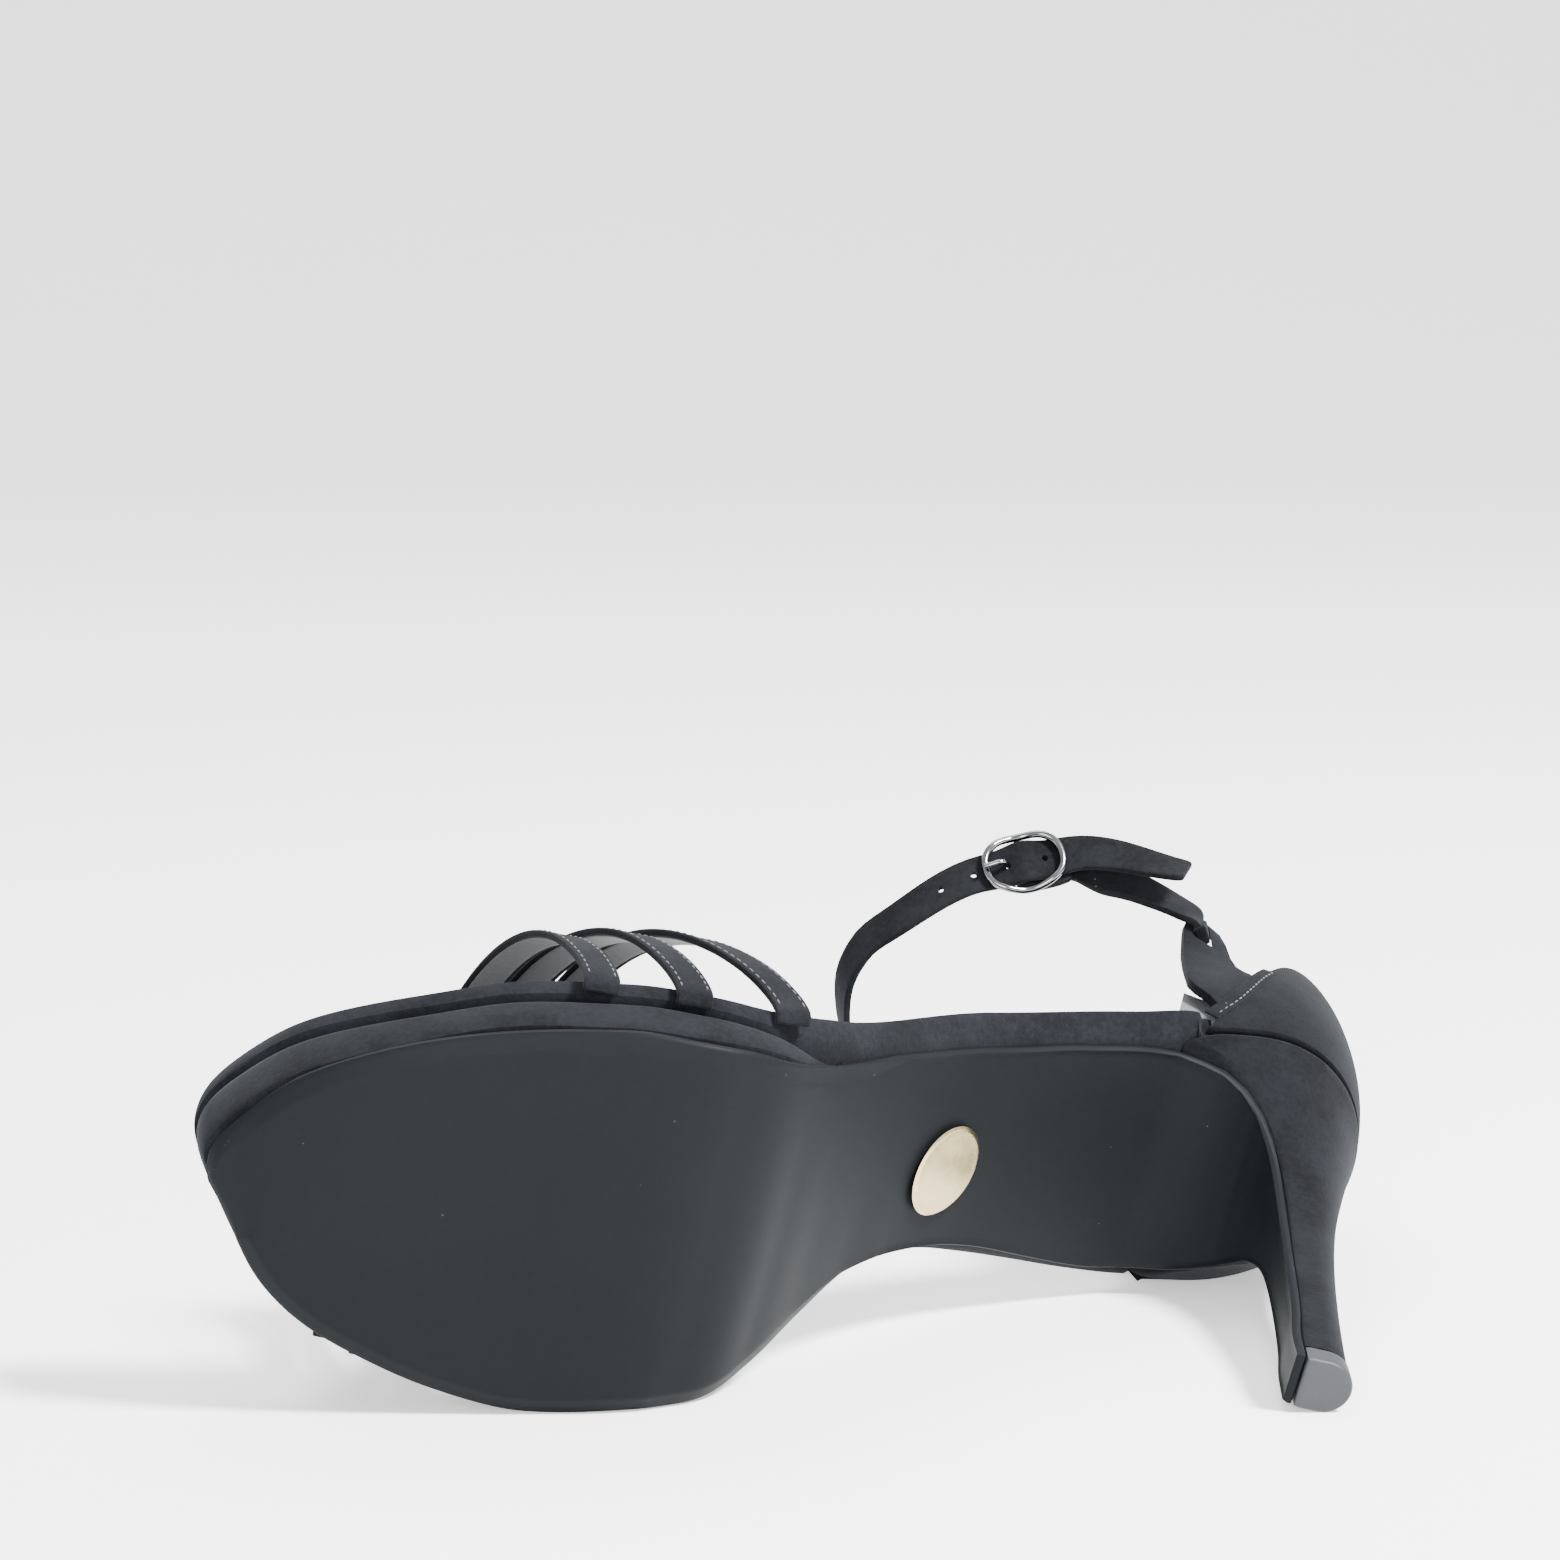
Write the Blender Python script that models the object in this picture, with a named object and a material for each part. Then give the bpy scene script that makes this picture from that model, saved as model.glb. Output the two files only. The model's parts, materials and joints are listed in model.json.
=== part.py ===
"""Left heeled platform sandal with an ankle strap, lying on its medial side.

Every piece is modelled on the standing shoe: X from lateral to medial, Y from
the back of the heel cup to the toe, Z up from the tread. One parent empty then
lays the shoe on the floor, on the facet of its hull that carries its weight.
"""
import math

import bmesh
import bpy
import numpy as np
from mathutils import Matrix, Vector

MM = 0.001

# Driving sizes of the standing shoe
LENGTH = 221 * MM
BALL_WIDTH = 75 * MM
SEAT_HEIGHT = 106 * MM
SEAT_WIDTH = 54 * MM
SEAT_ROUND = 28 * MM
SEAT_BACK = 3.5 * MM
CUP_BACK = 1.9 * MM
TOE_SPRING = 5 * MM
GAP = 0.3 * MM

# Sole layers
BOARD_THICK = 4.5 * MM
PLATFORM_THICK = 10.4 * MM
SOLE_THICK = 3.0 * MM
SHANK_THICK = 1.6 * MM
SOCK_THICK = 1.2 * MM
SOCK_INSET = 2.2 * MM
TREAD_BEVEL = 3.2 * MM
BOARD_UNDERCUT = 3.8 * MM
RIM_ROUND = 0.9 * MM
PLATFORM_INSET = 1.5 * MM
GROOVE = 1.1 * MM

# Heel and top piece
TIP_LENGTH = 9.3 * MM
TIP_WIDTH = 9.8 * MM
TIP_BACK = 14.8 * MM
TOP_PIECE = 5.0 * MM
FLAP_END = 0.8 * MM

# Heel cup and strap guides
CUP_WALL = 1.8 * MM
CUP_HEIGHT = 55 * MM
SEAM_FOOT = 39.8 * MM
SEAM_TOP = 24.0 * MM
STEP_LEAN = 2.1 * MM
GUIDE_WALL = 1.8 * MM
GUIDE_FLARE = 2.0 * MM

# Toe straps
TOE_STRAP_WIDTH = 6.4 * MM
TOE_STRAP_THICK = 1.6 * MM
TOE_RISE = 41.5 * MM

# Ankle strap and buckle
STRAP_WIDTH = 7.5 * MM
STRAP_THICK = 1.3 * MM
ANKLE_HALF = 31 * MM
ANKLE_REACH = 104.5 * MM
ANKLE_HEIGHT = 138 * MM
BUCKLE_LONG = 17 * MM
BUCKLE_WIDE = 13 * MM
BUCKLE_ARCH = 3.4 * MM
BUCKLE_SIDES = 2.2 * MM
WIRE = 1.5 * MM
BAR = 1.4 * MM
PRONG = 1.1 * MM
PRONG_HOLE = 2.2 * MM
BADGE_LONG = 18.3 * MM
BADGE_WIDE = 17.6 * MM
BADGE_THICK = 1.2 * MM

STACK = SOLE_THICK + PLATFORM_THICK + BOARD_THICK + 2 * GAP

# Side line of the foot bed: share of LENGTH, share of the rise to the seat
BED = ((0.000, 1.000), (0.068, 0.960), (0.136, 0.903), (0.199, 0.835),
       (0.249, 0.774), (0.294, 0.710), (0.339, 0.634), (0.385, 0.543),
       (0.428, 0.435), (0.476, 0.295), (0.519, 0.166), (0.557, 0.066),
       (0.597, 0.009), (0.633, 0.000), (1.000, 0.000))
SPRING_START = 0.83

# Growth of the platform under the bed: share of LENGTH, share of its height
LIFT = ((0.480, 0.00), (0.498, 0.05), (0.519, 0.11), (0.538, 0.21), (0.557, 0.32),
        (0.575, 0.49), (0.597, 0.73), (0.624, 0.95), (0.647, 1.00))
SOLE_GROWS = (0.53, 0.61)

# Rim of the foot bed: share of LENGTH, lateral and medial shares of half BALL_WIDTH
RIM = ((0.180, 0.733, 0.738), (0.199, 0.765, 0.736), (0.249, 0.747, 0.704),
       (0.299, 0.747, 0.645), (0.353, 0.757, 0.571), (0.403, 0.789, 0.507),
       (0.457, 0.827, 0.488), (0.484, 0.853, 0.533), (0.511, 0.893, 0.640),
       (0.538, 0.950, 0.760), (0.575, 1.005, 0.867), (0.615, 1.043, 0.960),
       (0.665, 1.037, 1.040), (0.715, 0.990, 1.088), (0.774, 0.915, 1.075),
       (0.842, 0.752, 0.987), (0.887, 0.627, 0.893), (0.937, 0.445, 0.707),
       (0.977, 0.185, 0.413), (1.000, -0.133, 0.133))

# Outsole outline: share of LENGTH, lateral and medial shares of half BALL_WIDTH
SOLE = ((0.226, 0.603, 0.640), (0.249, 0.613, 0.619), (0.271, 0.611, 0.589),
        (0.294, 0.619, 0.555), (0.339, 0.624, 0.477), (0.385, 0.656, 0.427),
        (0.430, 0.693, 0.413), (0.452, 0.717, 0.440), (0.489, 0.752, 0.600),
        (0.520, 0.811, 0.747), (0.552, 0.885, 0.851), (0.588, 0.949, 0.884),
        (0.620, 0.973, 0.911), (0.668, 0.973, 0.984), (0.715, 0.923, 1.030),
        (0.772, 0.837, 1.005), (0.839, 0.692, 0.917), (0.885, 0.552, 0.824),
        (0.929, 0.370, 0.653), (0.966, 0.120, 0.360), (0.989, -0.187, 0.187))
SOLE_TIP = 0.989

# Outsole down the breast: shares of LENGTH, SEAT_HEIGHT and half BALL_WIDTH
BREAST = ((0.1945, 0.7935, 0.585, 0.622), (0.1650, 0.7850, 0.560, 0.585),
          (0.1380, 0.7530, 0.488, 0.493), (0.1190, 0.7030, 0.360, 0.373),
          (0.1095, 0.6320, 0.240, 0.245), (0.1063, 0.5280, 0.163, 0.168),
          (0.1081, 0.3770, 0.136, 0.139), (0.1122, 0.1890, 0.131, 0.133))
FLAP_HALF = 0.131
SEAT_JOIN = 0.226

# Heel: share of the breast line, back's height as a share of the seat's,
# back's place as a share of LENGTH, half width as a share, roundness of the back
HEEL = ((0.045, 0.053, 0.0683, 0.131, 0.55), (0.110, 0.119, 0.0672, 0.130, 0.55),
        (0.245, 0.258, 0.0636, 0.126, 0.56), (0.410, 0.427, 0.0572, 0.136, 0.58),
        (0.555, 0.576, 0.0490, 0.178, 0.62), (0.655, 0.690, 0.0395, 0.260, 0.66),
        (0.745, 0.792, 0.0285, 0.375, 0.70), (0.815, 0.858, 0.0208, 0.505, 0.74),
        (0.885, 0.910, 0.0145, 0.628, 0.78))

# Heel cup: share of its height, front seam's share, half width's share, back's place
CUP = ((0.00, 0.00, 1.000, 0.0000), (0.10, 0.17, 1.046, -0.0044), (0.22, 0.32, 1.074, -0.0072),
       (0.35, 0.44, 1.080, -0.0084), (0.50, 0.57, 1.065, -0.0084), (0.70, 0.73, 1.025, -0.0060),
       (0.85, 0.86, 0.984, -0.0020), (1.00, 1.00, 0.932, 0.0072))
# Top line of the cup: share of the way from back to seam, share of CUP_HEIGHT
TOP_LINE = ((0.0, 1.00), (0.35, 0.97), (0.60, 0.89), (0.80, 0.745), (0.92, 0.60), (1.0, 0.49))

# Strap guide: share of its rim, then the front edge and the free part of the rear
# edge, as shares of SEAM_FOOT and of ANKLE_HEIGHT
GUIDE_FRONT = ((0.00, 0.935, 0.695), (0.14, 0.985, 0.728), (0.24, 1.068, 0.762),
               (0.45, 1.066, 0.820), (0.65, 1.055, 0.885), (0.82, 1.034, 0.968),
               (0.92, 1.000, 1.003), (1.00, 0.940, 1.022))
GUIDE_REAR = ((0.60, 0.690, 0.888), (0.68, 0.745, 0.896), (0.78, 0.780, 0.930),
              (0.88, 0.800, 0.985), (0.94, 0.825, 1.012), (1.00, 0.880, 1.024))
GUIDE_FOOT = 0.700

# Toe straps: name, lateral and medial ends as shares of LENGTH, rise, sweep
TOE_STRAPS = (("toe_strap_front", 0.717, 0.8566, 1.01, 1.6),
              ("toe_strap_middle", 0.644, 0.8258, 1.13, 1.9),
              ("toe_strap_rear", 0.564, 0.7900, 1.29, 2.1))

# Route of the ankle strap from lateral guide to medial guide: shares of
# ANKLE_HALF, ANKLE_REACH and ANKLE_HEIGHT, outward tilt in degrees
ROUTE = ((-0.715, 0.292, 0.976, 0), (-0.730, 0.312, 0.976, 0), (-0.778, 0.334, 0.977, 0),
         (-0.905, 0.354, 0.980, 2), (-0.990, 0.372, 0.986, 5), (-1.008, 0.400, 0.998, 9),
         (-1.035, 0.455, 1.012, 18), (-1.045, 0.525, 1.036, 32),
         (-1.030, 0.625, 1.054, 42), (-0.990, 0.704, 1.050, 45), (-0.890, 0.772, 1.020, 43),
         (-0.710, 0.848, 1.011, 38), (-0.468, 0.922, 1.007, 32), (-0.258, 0.968, 1.007, 26),
         (-0.032, 0.983, 1.004, 20), (0.242, 0.966, 1.000, 12), (0.516, 0.908, 1.000, 8),
         (0.758, 0.806, 1.000, 5), (0.903, 0.670, 0.996, 2), (0.975, 0.526, 0.992, 0),
         (1.008, 0.415, 0.986, 0), (0.990, 0.372, 0.982, 0), (0.905, 0.354, 0.979, 0),
         (0.778, 0.334, 0.977, 0), (0.730, 0.312, 0.976, 0), (0.715, 0.292, 0.976, 0))
BUCKLE_AT = (0.704, -0.990)
FREE_END = 31 * MM
FREE_SPRING = 7 * MM

for old in list(bpy.data.objects):
    bpy.data.objects.remove(old, do_unlink=True)

shoe = bpy.data.objects.new("shoe", None)
bpy.context.scene.collection.objects.link(shoe)


def smooth(rows, column, at):
    """Value of one column of a table, by a monotone curve over its first column."""
    xs = np.array([row[0] for row in rows], dtype=float)
    ys = np.array([row[column] for row in rows], dtype=float)
    slope = np.diff(ys) / np.diff(xs)
    tangent = np.concatenate(([slope[0]], np.zeros(len(xs) - 2), [slope[-1]]))
    for i in range(1, len(xs) - 1):
        if slope[i - 1] * slope[i] > 0:
            tangent[i] = 2 * slope[i - 1] * slope[i] / (slope[i - 1] + slope[i])
    at = np.clip(np.asarray(at, dtype=float), xs[0], xs[-1])
    i = np.clip(np.searchsorted(xs, at) - 1, 0, len(xs) - 2)
    width = xs[i + 1] - xs[i]
    t = (at - xs[i]) / width
    return (ys[i] * (1 + 2 * t) * (1 - t) ** 2 + ys[i + 1] * t ** 2 * (3 - 2 * t)
            + width * t * (1 - t) * (tangent[i] * (1 - t) - tangent[i + 1] * t))


def ease(low, high, at):
    """0 below low, 1 above high, and a soft step between."""
    t = np.clip((np.asarray(at, dtype=float) - low) / (high - low), 0, 1)
    return t * t * (3 - 2 * t)


def run_length(points):
    """Distance along a line of points, from its first one."""
    steps = np.linalg.norm(np.diff(points, axis=0), axis=1)
    return np.concatenate(([0.0], np.cumsum(steps)))


def resample(points, count):
    """The same line with evenly spaced points."""
    run = run_length(points)
    at = np.linspace(0, run[-1], count)
    return np.stack([np.interp(at, run, column) for column in points.T], axis=1)


def unit(vectors):
    """Vectors, one to a row, at length 1."""
    return vectors / np.linalg.norm(vectors, axis=-1, keepdims=True)


def material(name, colour, rough, metal=0.0):
    """A Principled material for one sub-part."""
    made = bpy.data.materials.new(name)
    made.use_nodes = True
    shader = made.node_tree.nodes["Principled BSDF"]
    shader.inputs["Base Color"].default_value = (*colour, 1)
    shader.inputs["Roughness"].default_value = rough
    shader.inputs["Metallic"].default_value = metal
    return made


def add_piece(name, points, faces, colour, rough, metal=0.0):
    """One closed solid under the shoe's empty, with its faces turned outwards."""
    mesh = bpy.data.meshes.new(name)
    mesh.from_pydata([tuple(float(value) for value in point) for point in points], [], faces)
    work = bmesh.new()
    work.from_mesh(mesh)
    bmesh.ops.recalc_face_normals(work, faces=work.faces)
    work.to_mesh(mesh)
    work.free()
    mesh.shade_smooth()
    mesh.set_sharp_from_angle(angle=math.radians(35))
    mesh.materials.append(material(name, colour, rough, metal))
    piece = bpy.data.objects.new(name, mesh)
    piece.parent = shoe
    bpy.context.scene.collection.objects.link(piece)
    return piece


def loft(rings, close_along=False):
    """Faces between rings of equally many points, with both ends filled."""
    count = len(rings[0])
    faces = []
    for k in range(len(rings) if close_along else len(rings) - 1):
        low, high = k * count, (k + 1) % len(rings) * count
        for i in range(count):
            j = (i + 1) % count
            faces.append((low + i, low + j, high + j, high + i))
    if not close_along:
        faces.append(tuple(range(count)))
        faces.append(tuple(range((len(rings) - 1) * count, len(rings) * count)))
    return np.concatenate(rings), faces


def stacked(rings):
    """Faces of rings laid on each other, closed by strips from side to side."""
    count = len(rings[0])
    points, faces = loft(rings)
    faces = faces[:-2]
    for base in (0, (len(rings) - 1) * count):
        for i in range(count // 2 - 1):
            faces.append((base + i, base + i + 1, base + count - 2 - i, base + count - 1 - i))
    return points, faces


# Foot bed: the curve that every layer of the sole is measured from
bed_y = np.linspace(0, LENGTH, 600)


def bed_height(y):
    """Height of the foot bed's rim above the floor of the standing shoe."""
    share = np.asarray(y) / LENGTH
    spring = np.clip((share - SPRING_START) / (1 - SPRING_START), 0, None) ** 2
    return STACK + (SEAT_HEIGHT - STACK) * smooth(BED, 1, share) + TOE_SPRING * spring


bed_line = np.stack([bed_y, bed_height(bed_y)], axis=1)
bed_run = run_length(bed_line)
bed_along = unit(np.gradient(bed_line, axis=0))
bed_up = np.stack([-bed_along[:, 1], bed_along[:, 0]], axis=1)
lift = (PLATFORM_THICK + GAP) * smooth(LIFT, 1, bed_y / LENGTH)
sole_thick = SHANK_THICK + (SOLE_THICK - SHANK_THICK) * ease(*SOLE_GROWS, bed_y / LENGTH)


def below_bed(depth):
    """The curve that lies a depth under the foot bed."""
    return bed_line - bed_up * np.broadcast_to(depth, bed_y.shape)[:, None]


def rim_half(y, side):
    """Half width of the rim: a rounded seat, then the outline's table."""
    round_start = SEAM_FOOT + STEP_LEAN
    q = -np.sqrt(np.clip(1 - np.asarray(y) / LENGTH, 0, 1))
    rows = [(-math.sqrt(max(1 - row[0], 0)), row[side]) for row in RIM]
    outline = smooth(rows, 1, q) * BALL_WIDTH / 2
    part = np.clip(1 - (np.asarray(y) - SEAT_BACK) / SEAT_ROUND, 0, 1)
    seat = SEAT_WIDTH / 2 * np.sqrt(1 - part ** 2.1)
    return np.where(np.asarray(y) < round_start, seat, outline)




def stations(start, end, rounded_start):
    """Places along a layer, closer together at its rounded ends."""
    radius, step, fine = 24 * MM, 4.6 * MM, 8
    arc = radius * (1 - np.cos(math.pi / 2 * (np.arange(fine) + 0.5) / fine))
    front = end - arc[::-1]
    back = start + arc if rounded_start else np.array([start])
    middle_count = int((front[0] - back[-1]) / step) + 1
    middle = np.linspace(back[-1], front[0], middle_count + 1)[1:-1]
    return np.concatenate((back, middle, front))


def closed_outline(at, lateral, medial):
    """Loop of (along, across) points: lateral side forwards, medial side back."""
    there = np.stack([at, -lateral], axis=1)
    back = np.stack([at, medial], axis=1)[::-1]
    return np.concatenate((there, back))


def drawn_in(loop, inset):
    """The loop moved inwards by an inset, which may vary along it."""
    along = unit(np.roll(loop, -1, axis=0) - np.roll(loop, 1, axis=0))
    outward = np.stack([along[:, 1], -along[:, 0]], axis=1)
    return loop - outward * np.broadcast_to(inset, len(loop))[:, None]


def layer_rings(loop, run, lower, upper, levels):
    """Rings of a layer between two curves: each level is an inset and a share."""
    rings = []
    for inset, share in levels:
        flat = drawn_in(loop, inset)
        low = np.stack([np.interp(flat[:, 0], run, column) for column in lower.T], axis=1)
        high = np.stack([np.interp(flat[:, 0], run, column) for column in upper.T], axis=1)
        line = low + (high - low) * share
        rings.append(np.column_stack([flat[:, 1], line]))
    return rings


feather = below_bed(BOARD_THICK)
step_low = float(np.interp(SEAM_FOOT + GAP, feather[:, 0], bed_y))
step_high = SEAM_FOOT - STEP_LEAN
step_run = np.interp(np.linspace(step_high, step_low + 0.9 * MM, 7), bed_y, bed_run)
rim_at = stations(np.interp(SEAT_BACK, bed_y, bed_run), bed_run[-1], True)
clear_of_step = np.min(np.abs(rim_at[:, None] - step_run), axis=1) > 1.2 * MM
rim_at = np.sort(np.concatenate((rim_at[clear_of_step], step_run)))
rim_y = np.interp(rim_at, bed_run, bed_y)
rim_loop = closed_outline(rim_at, rim_half(rim_y, 1), rim_half(rim_y, 2))
loop_y = np.concatenate((rim_y, rim_y[::-1]))


def in_cup(share):
    """1 where the cup stands beside the layer at a share of its height, then 0."""
    step = step_low + (step_high - step_low) * share
    return 1 - ease(step, step + 0.8 * MM, loop_y)


at_waist = 1 - ease(0.50 * LENGTH, 0.62 * LENGTH, loop_y)

# Insole board, wrapped in suede: the rim round the foot bed
board_low, board_high = below_bed(BOARD_THICK), bed_line
under = GROOVE + (BOARD_UNDERCUT - GROOVE) * at_waist
board_levels = []
for share, of_under, more in ((0.0, 1.0, 0.0), (0.30, 0.45, 0.0), (0.62, 0.08, 0.0),
                              (0.80, 0.0, 0.0), (1.0, 0.0, RIM_ROUND)):
    beside = in_cup(share)
    inset = (CUP_WALL + 2 * GAP) * beside + of_under * under * (1 - beside) + more
    board_levels.append((inset, share))
board = layer_rings(rim_loop, bed_run, board_low, board_high, board_levels)
add_piece("insole_board", *stacked(board), (0.045, 0.045, 0.05), 0.9)

# Sock: the lining that the foot stands on
sock_low, sock_high = below_bed(-GAP), below_bed(-GAP - SOCK_THICK)
sock_inset = (CUP_WALL + 2 * GAP) * in_cup(1.0) + SOCK_INSET
sock_levels = ((sock_inset, 0.0), (sock_inset, 0.5), (sock_inset + 0.5 * SOCK_THICK, 1.0))
sock = layer_rings(rim_loop, bed_run, sock_low, sock_high, sock_levels)
add_piece("insole_sock", *stacked(sock), (0.05, 0.05, 0.055), 0.7)

# Platform under the forefoot, running out towards the waist
tail_y = np.interp(GAP + 0.8 * MM, lift, bed_y)
block_at = stations(np.interp(tail_y, bed_y, bed_run), bed_run[-1], False)
block_y = np.interp(block_at, bed_run, bed_y)
block_loop = closed_outline(block_at, rim_half(block_y, 1), rim_half(block_y, 2))
block_waist = 1 - ease(0.50 * LENGTH, 0.62 * LENGTH, np.concatenate((block_y, block_y[::-1])))
block_in = PLATFORM_INSET + (BOARD_UNDERCUT - PLATFORM_INSET) * block_waist
bed_slope = np.gradient(bed_line[:, 1], bed_y)
toe_lean = np.interp(np.concatenate((block_y, block_y[::-1])), bed_y, np.clip(bed_slope, 0, 1))
toe_lean = toe_lean * PLATFORM_THICK * 1.3
block_levels = ((block_in + GROOVE + toe_lean, 0.0), (block_in + 0.5 * GROOVE + 0.88 * toe_lean, 0.12),
                (block_in + 0.45 * toe_lean, 0.55), (block_in + 0.1 * GROOVE + 0.15 * toe_lean, 0.85),
                (block_in + GROOVE, 1.0))
platform = layer_rings(block_loop, bed_run, below_bed(BOARD_THICK + lift),
                       below_bed(BOARD_THICK + GAP), block_levels)
add_piece("platform", *stacked(platform), (0.045, 0.045, 0.05), 0.9)

# Outsole: tread and waist under the bed, then a bend down the heel's breast
sole_top = below_bed(BOARD_THICK + GAP + lift)
sole_bottom = below_bed(BOARD_THICK + GAP + lift + sole_thick)
kept = (bed_y >= SEAT_JOIN * LENGTH) & (sole_bottom[:, 0] <= SOLE_TIP * LENGTH)
flap = [(row[0] * LENGTH, row[1] * SEAT_HEIGHT, row[2], row[3]) for row in BREAST]
flap_front = TIP_BACK + TIP_LENGTH + GAP + SHANK_THICK
flap.append((flap_front, TOP_PIECE + 3 * MM, FLAP_HALF, FLAP_HALF))
flap.append((flap_front, FLAP_END, FLAP_HALF, FLAP_HALF))
join = sole_bottom[kept][0]
join_half = [float(smooth(SOLE, side, join[0] / LENGTH)) for side in (1, 2)]
flap = [(join[0], join[1], *join_half)] + flap
flap_rows = np.array(flap)
flap_run = run_length(flap_rows[:, :2])
flap_table = [(flap_run[i], *flap_rows[i]) for i in range(len(flap_rows))]
fine = np.linspace(0, flap_run[-1], 120)
breast = np.stack([smooth(flap_table, 1, fine), smooth(flap_table, 2, fine)], axis=1)
sole_line = np.concatenate((breast[:0:-1], sole_bottom[kept]))
sole_run = run_length(sole_line)
breast_along = unit(np.gradient(breast, axis=0))
breast_up = np.stack([breast_along[:, 1], -breast_along[:, 0]], axis=1)
blend = ease(0, 8 * MM, fine)[:, None]
first_up = unit(sole_top[kept][0] - join)
breast_up = unit(breast_up * blend + first_up * (1 - blend))
breast_back = breast + breast_up * SHANK_THICK
sole_back = np.concatenate((breast_back[:0:-1], sole_top[kept]))
tread_y = sole_bottom[kept][:, 0]


def sole_half(side):
    """Half width of the outsole at each point of its line."""
    rows = [(-math.sqrt(max(SOLE_TIP - row[0], 0)), row[side]) for row in SOLE]
    tread = smooth(rows, 1, -np.sqrt(np.clip(SOLE_TIP - tread_y / LENGTH, 0, 1)))
    down = smooth(flap_table, side + 2, fine)
    return np.concatenate((down[:0:-1], tread)) * BALL_WIDTH / 2


sole_lateral, sole_medial = sole_half(1), sole_half(2)
sole_at = stations(0, sole_run[-1], False)
sole_loop = closed_outline(sole_at, np.interp(sole_at, sole_run, sole_lateral),
                           np.interp(sole_at, sole_run, sole_medial))
bevel_share = ease(0.44 * LENGTH, 0.50 * LENGTH, np.interp(sole_loop[:, 0], sole_run, sole_line[:, 0]))
bevel = 0.5 * MM + (TREAD_BEVEL - 0.5 * MM) * bevel_share
sole_levels = ((bevel, 0.0), (0.12 * bevel, 0.42), (0.0, 0.55), (0.0, 0.88), (0.2 * MM, 1.0))
outsole = layer_rings(sole_loop, sole_run, sole_line, sole_back, sole_levels)
add_piece("outsole", *stacked(outsole), (0.012, 0.014, 0.018), 0.42)


def heel_ring(front, back, half, roundness, low_line=None):
    """Section of the heel: rounded at the back, flat where the outsole covers it."""
    count = 13
    share = 1 - np.cos(math.pi / 2 * (np.arange(count) + 0.5) / (count - 0.5))
    part = np.clip(1 - share / roundness, 0, 1)
    width = np.sqrt(1 - part ** 2)
    line = back + (front - back) * share[:, None]
    if low_line is not None:
        line[:, 1] = np.interp(line[:, 0], low_line[:, 0], low_line[:, 1])
    lateral = np.column_stack([-width * half[0], line])
    medial = np.column_stack([width * half[1], line])[::-1]
    return np.concatenate((lateral, medial))


# Heel: a slim shaft that flares into the seat behind the breast of the outsole
heel_front = breast_back + breast_up * GAP
heel_front_run = run_length(heel_front)
seat_line = below_bed(BOARD_THICK + GAP)
shares = np.linspace(HEEL[0][0], HEEL[-1][0], 15)
tip_front = TIP_BACK + TIP_LENGTH
heel_rings = []
for share in shares:
    where = heel_front_run[-1] * (1 - share)
    front = np.array([np.interp(where, heel_front_run, column) for column in heel_front.T])
    back = np.array([smooth(HEEL, 2, share) * LENGTH, smooth(HEEL, 1, share) * SEAT_HEIGHT])
    if share == shares[0]:
        front[1] = back[1] = TOP_PIECE + GAP
        front[0] = min(front[0], tip_front)
        back[0] = TIP_BACK + 0.3 * MM
    half = float(smooth(HEEL, 3, share)) * BALL_WIDTH / 2
    heel_rings.append(heel_ring(front, back, (half, half), float(smooth(HEEL, 4, share))))
seat_front_run = heel_front_run[-1] * 0.04
seat_front = np.array([np.interp(seat_front_run, heel_front_run, c) for c in heel_front.T])
seat_y = CUP_BACK + (seat_front[0] - CUP_BACK) * (
    1 - np.cos(math.pi / 2 * (np.arange(13) + 0.5) / 12.5))
seat_bed_y = np.interp(seat_y, seat_line[:, 0], bed_y)
tuck = BOARD_UNDERCUT * ease(step_low - 1 * MM, step_low + 1 * MM, seat_bed_y)
seat_z = np.interp(seat_y, seat_line[:, 0], seat_line[:, 1])
seat_edge = []
for side in (1, 2):
    under_cup = SEAT_WIDTH / 2 * np.sqrt(1 - np.clip(1 - (seat_y - CUP_BACK) / SEAT_ROUND, 0, 1) ** 2.1)
    seat_edge.append(np.where(seat_bed_y < step_low, under_cup, rim_half(seat_bed_y, side)) - tuck)
lateral_edge = np.column_stack([-seat_edge[0], seat_y, seat_z])
medial_edge = np.column_stack([seat_edge[1], seat_y, seat_z])[::-1]
heel_rings.append(np.concatenate((lateral_edge, medial_edge)))
add_piece("heel", *stacked(heel_rings), (0.045, 0.045, 0.05), 0.9)

# Top piece: the D-shaped rubber that the heel stands on
tip_rings = []
for height, inset in ((0.0, 0.4 * MM), (0.4 * MM, 0.0), (TOP_PIECE - 0.3 * MM, 0.0),
                      (TOP_PIECE, 0.3 * MM)):
    front = np.array([tip_front - inset, height])
    back = np.array([TIP_BACK + inset, height])
    half = TIP_WIDTH / 2 - inset
    tip_rings.append(heel_ring(front, back, (half, half), HEEL[0][4]))
add_piece("top_piece", *stacked(tip_rings), (0.012, 0.013, 0.015), 0.45)


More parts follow.
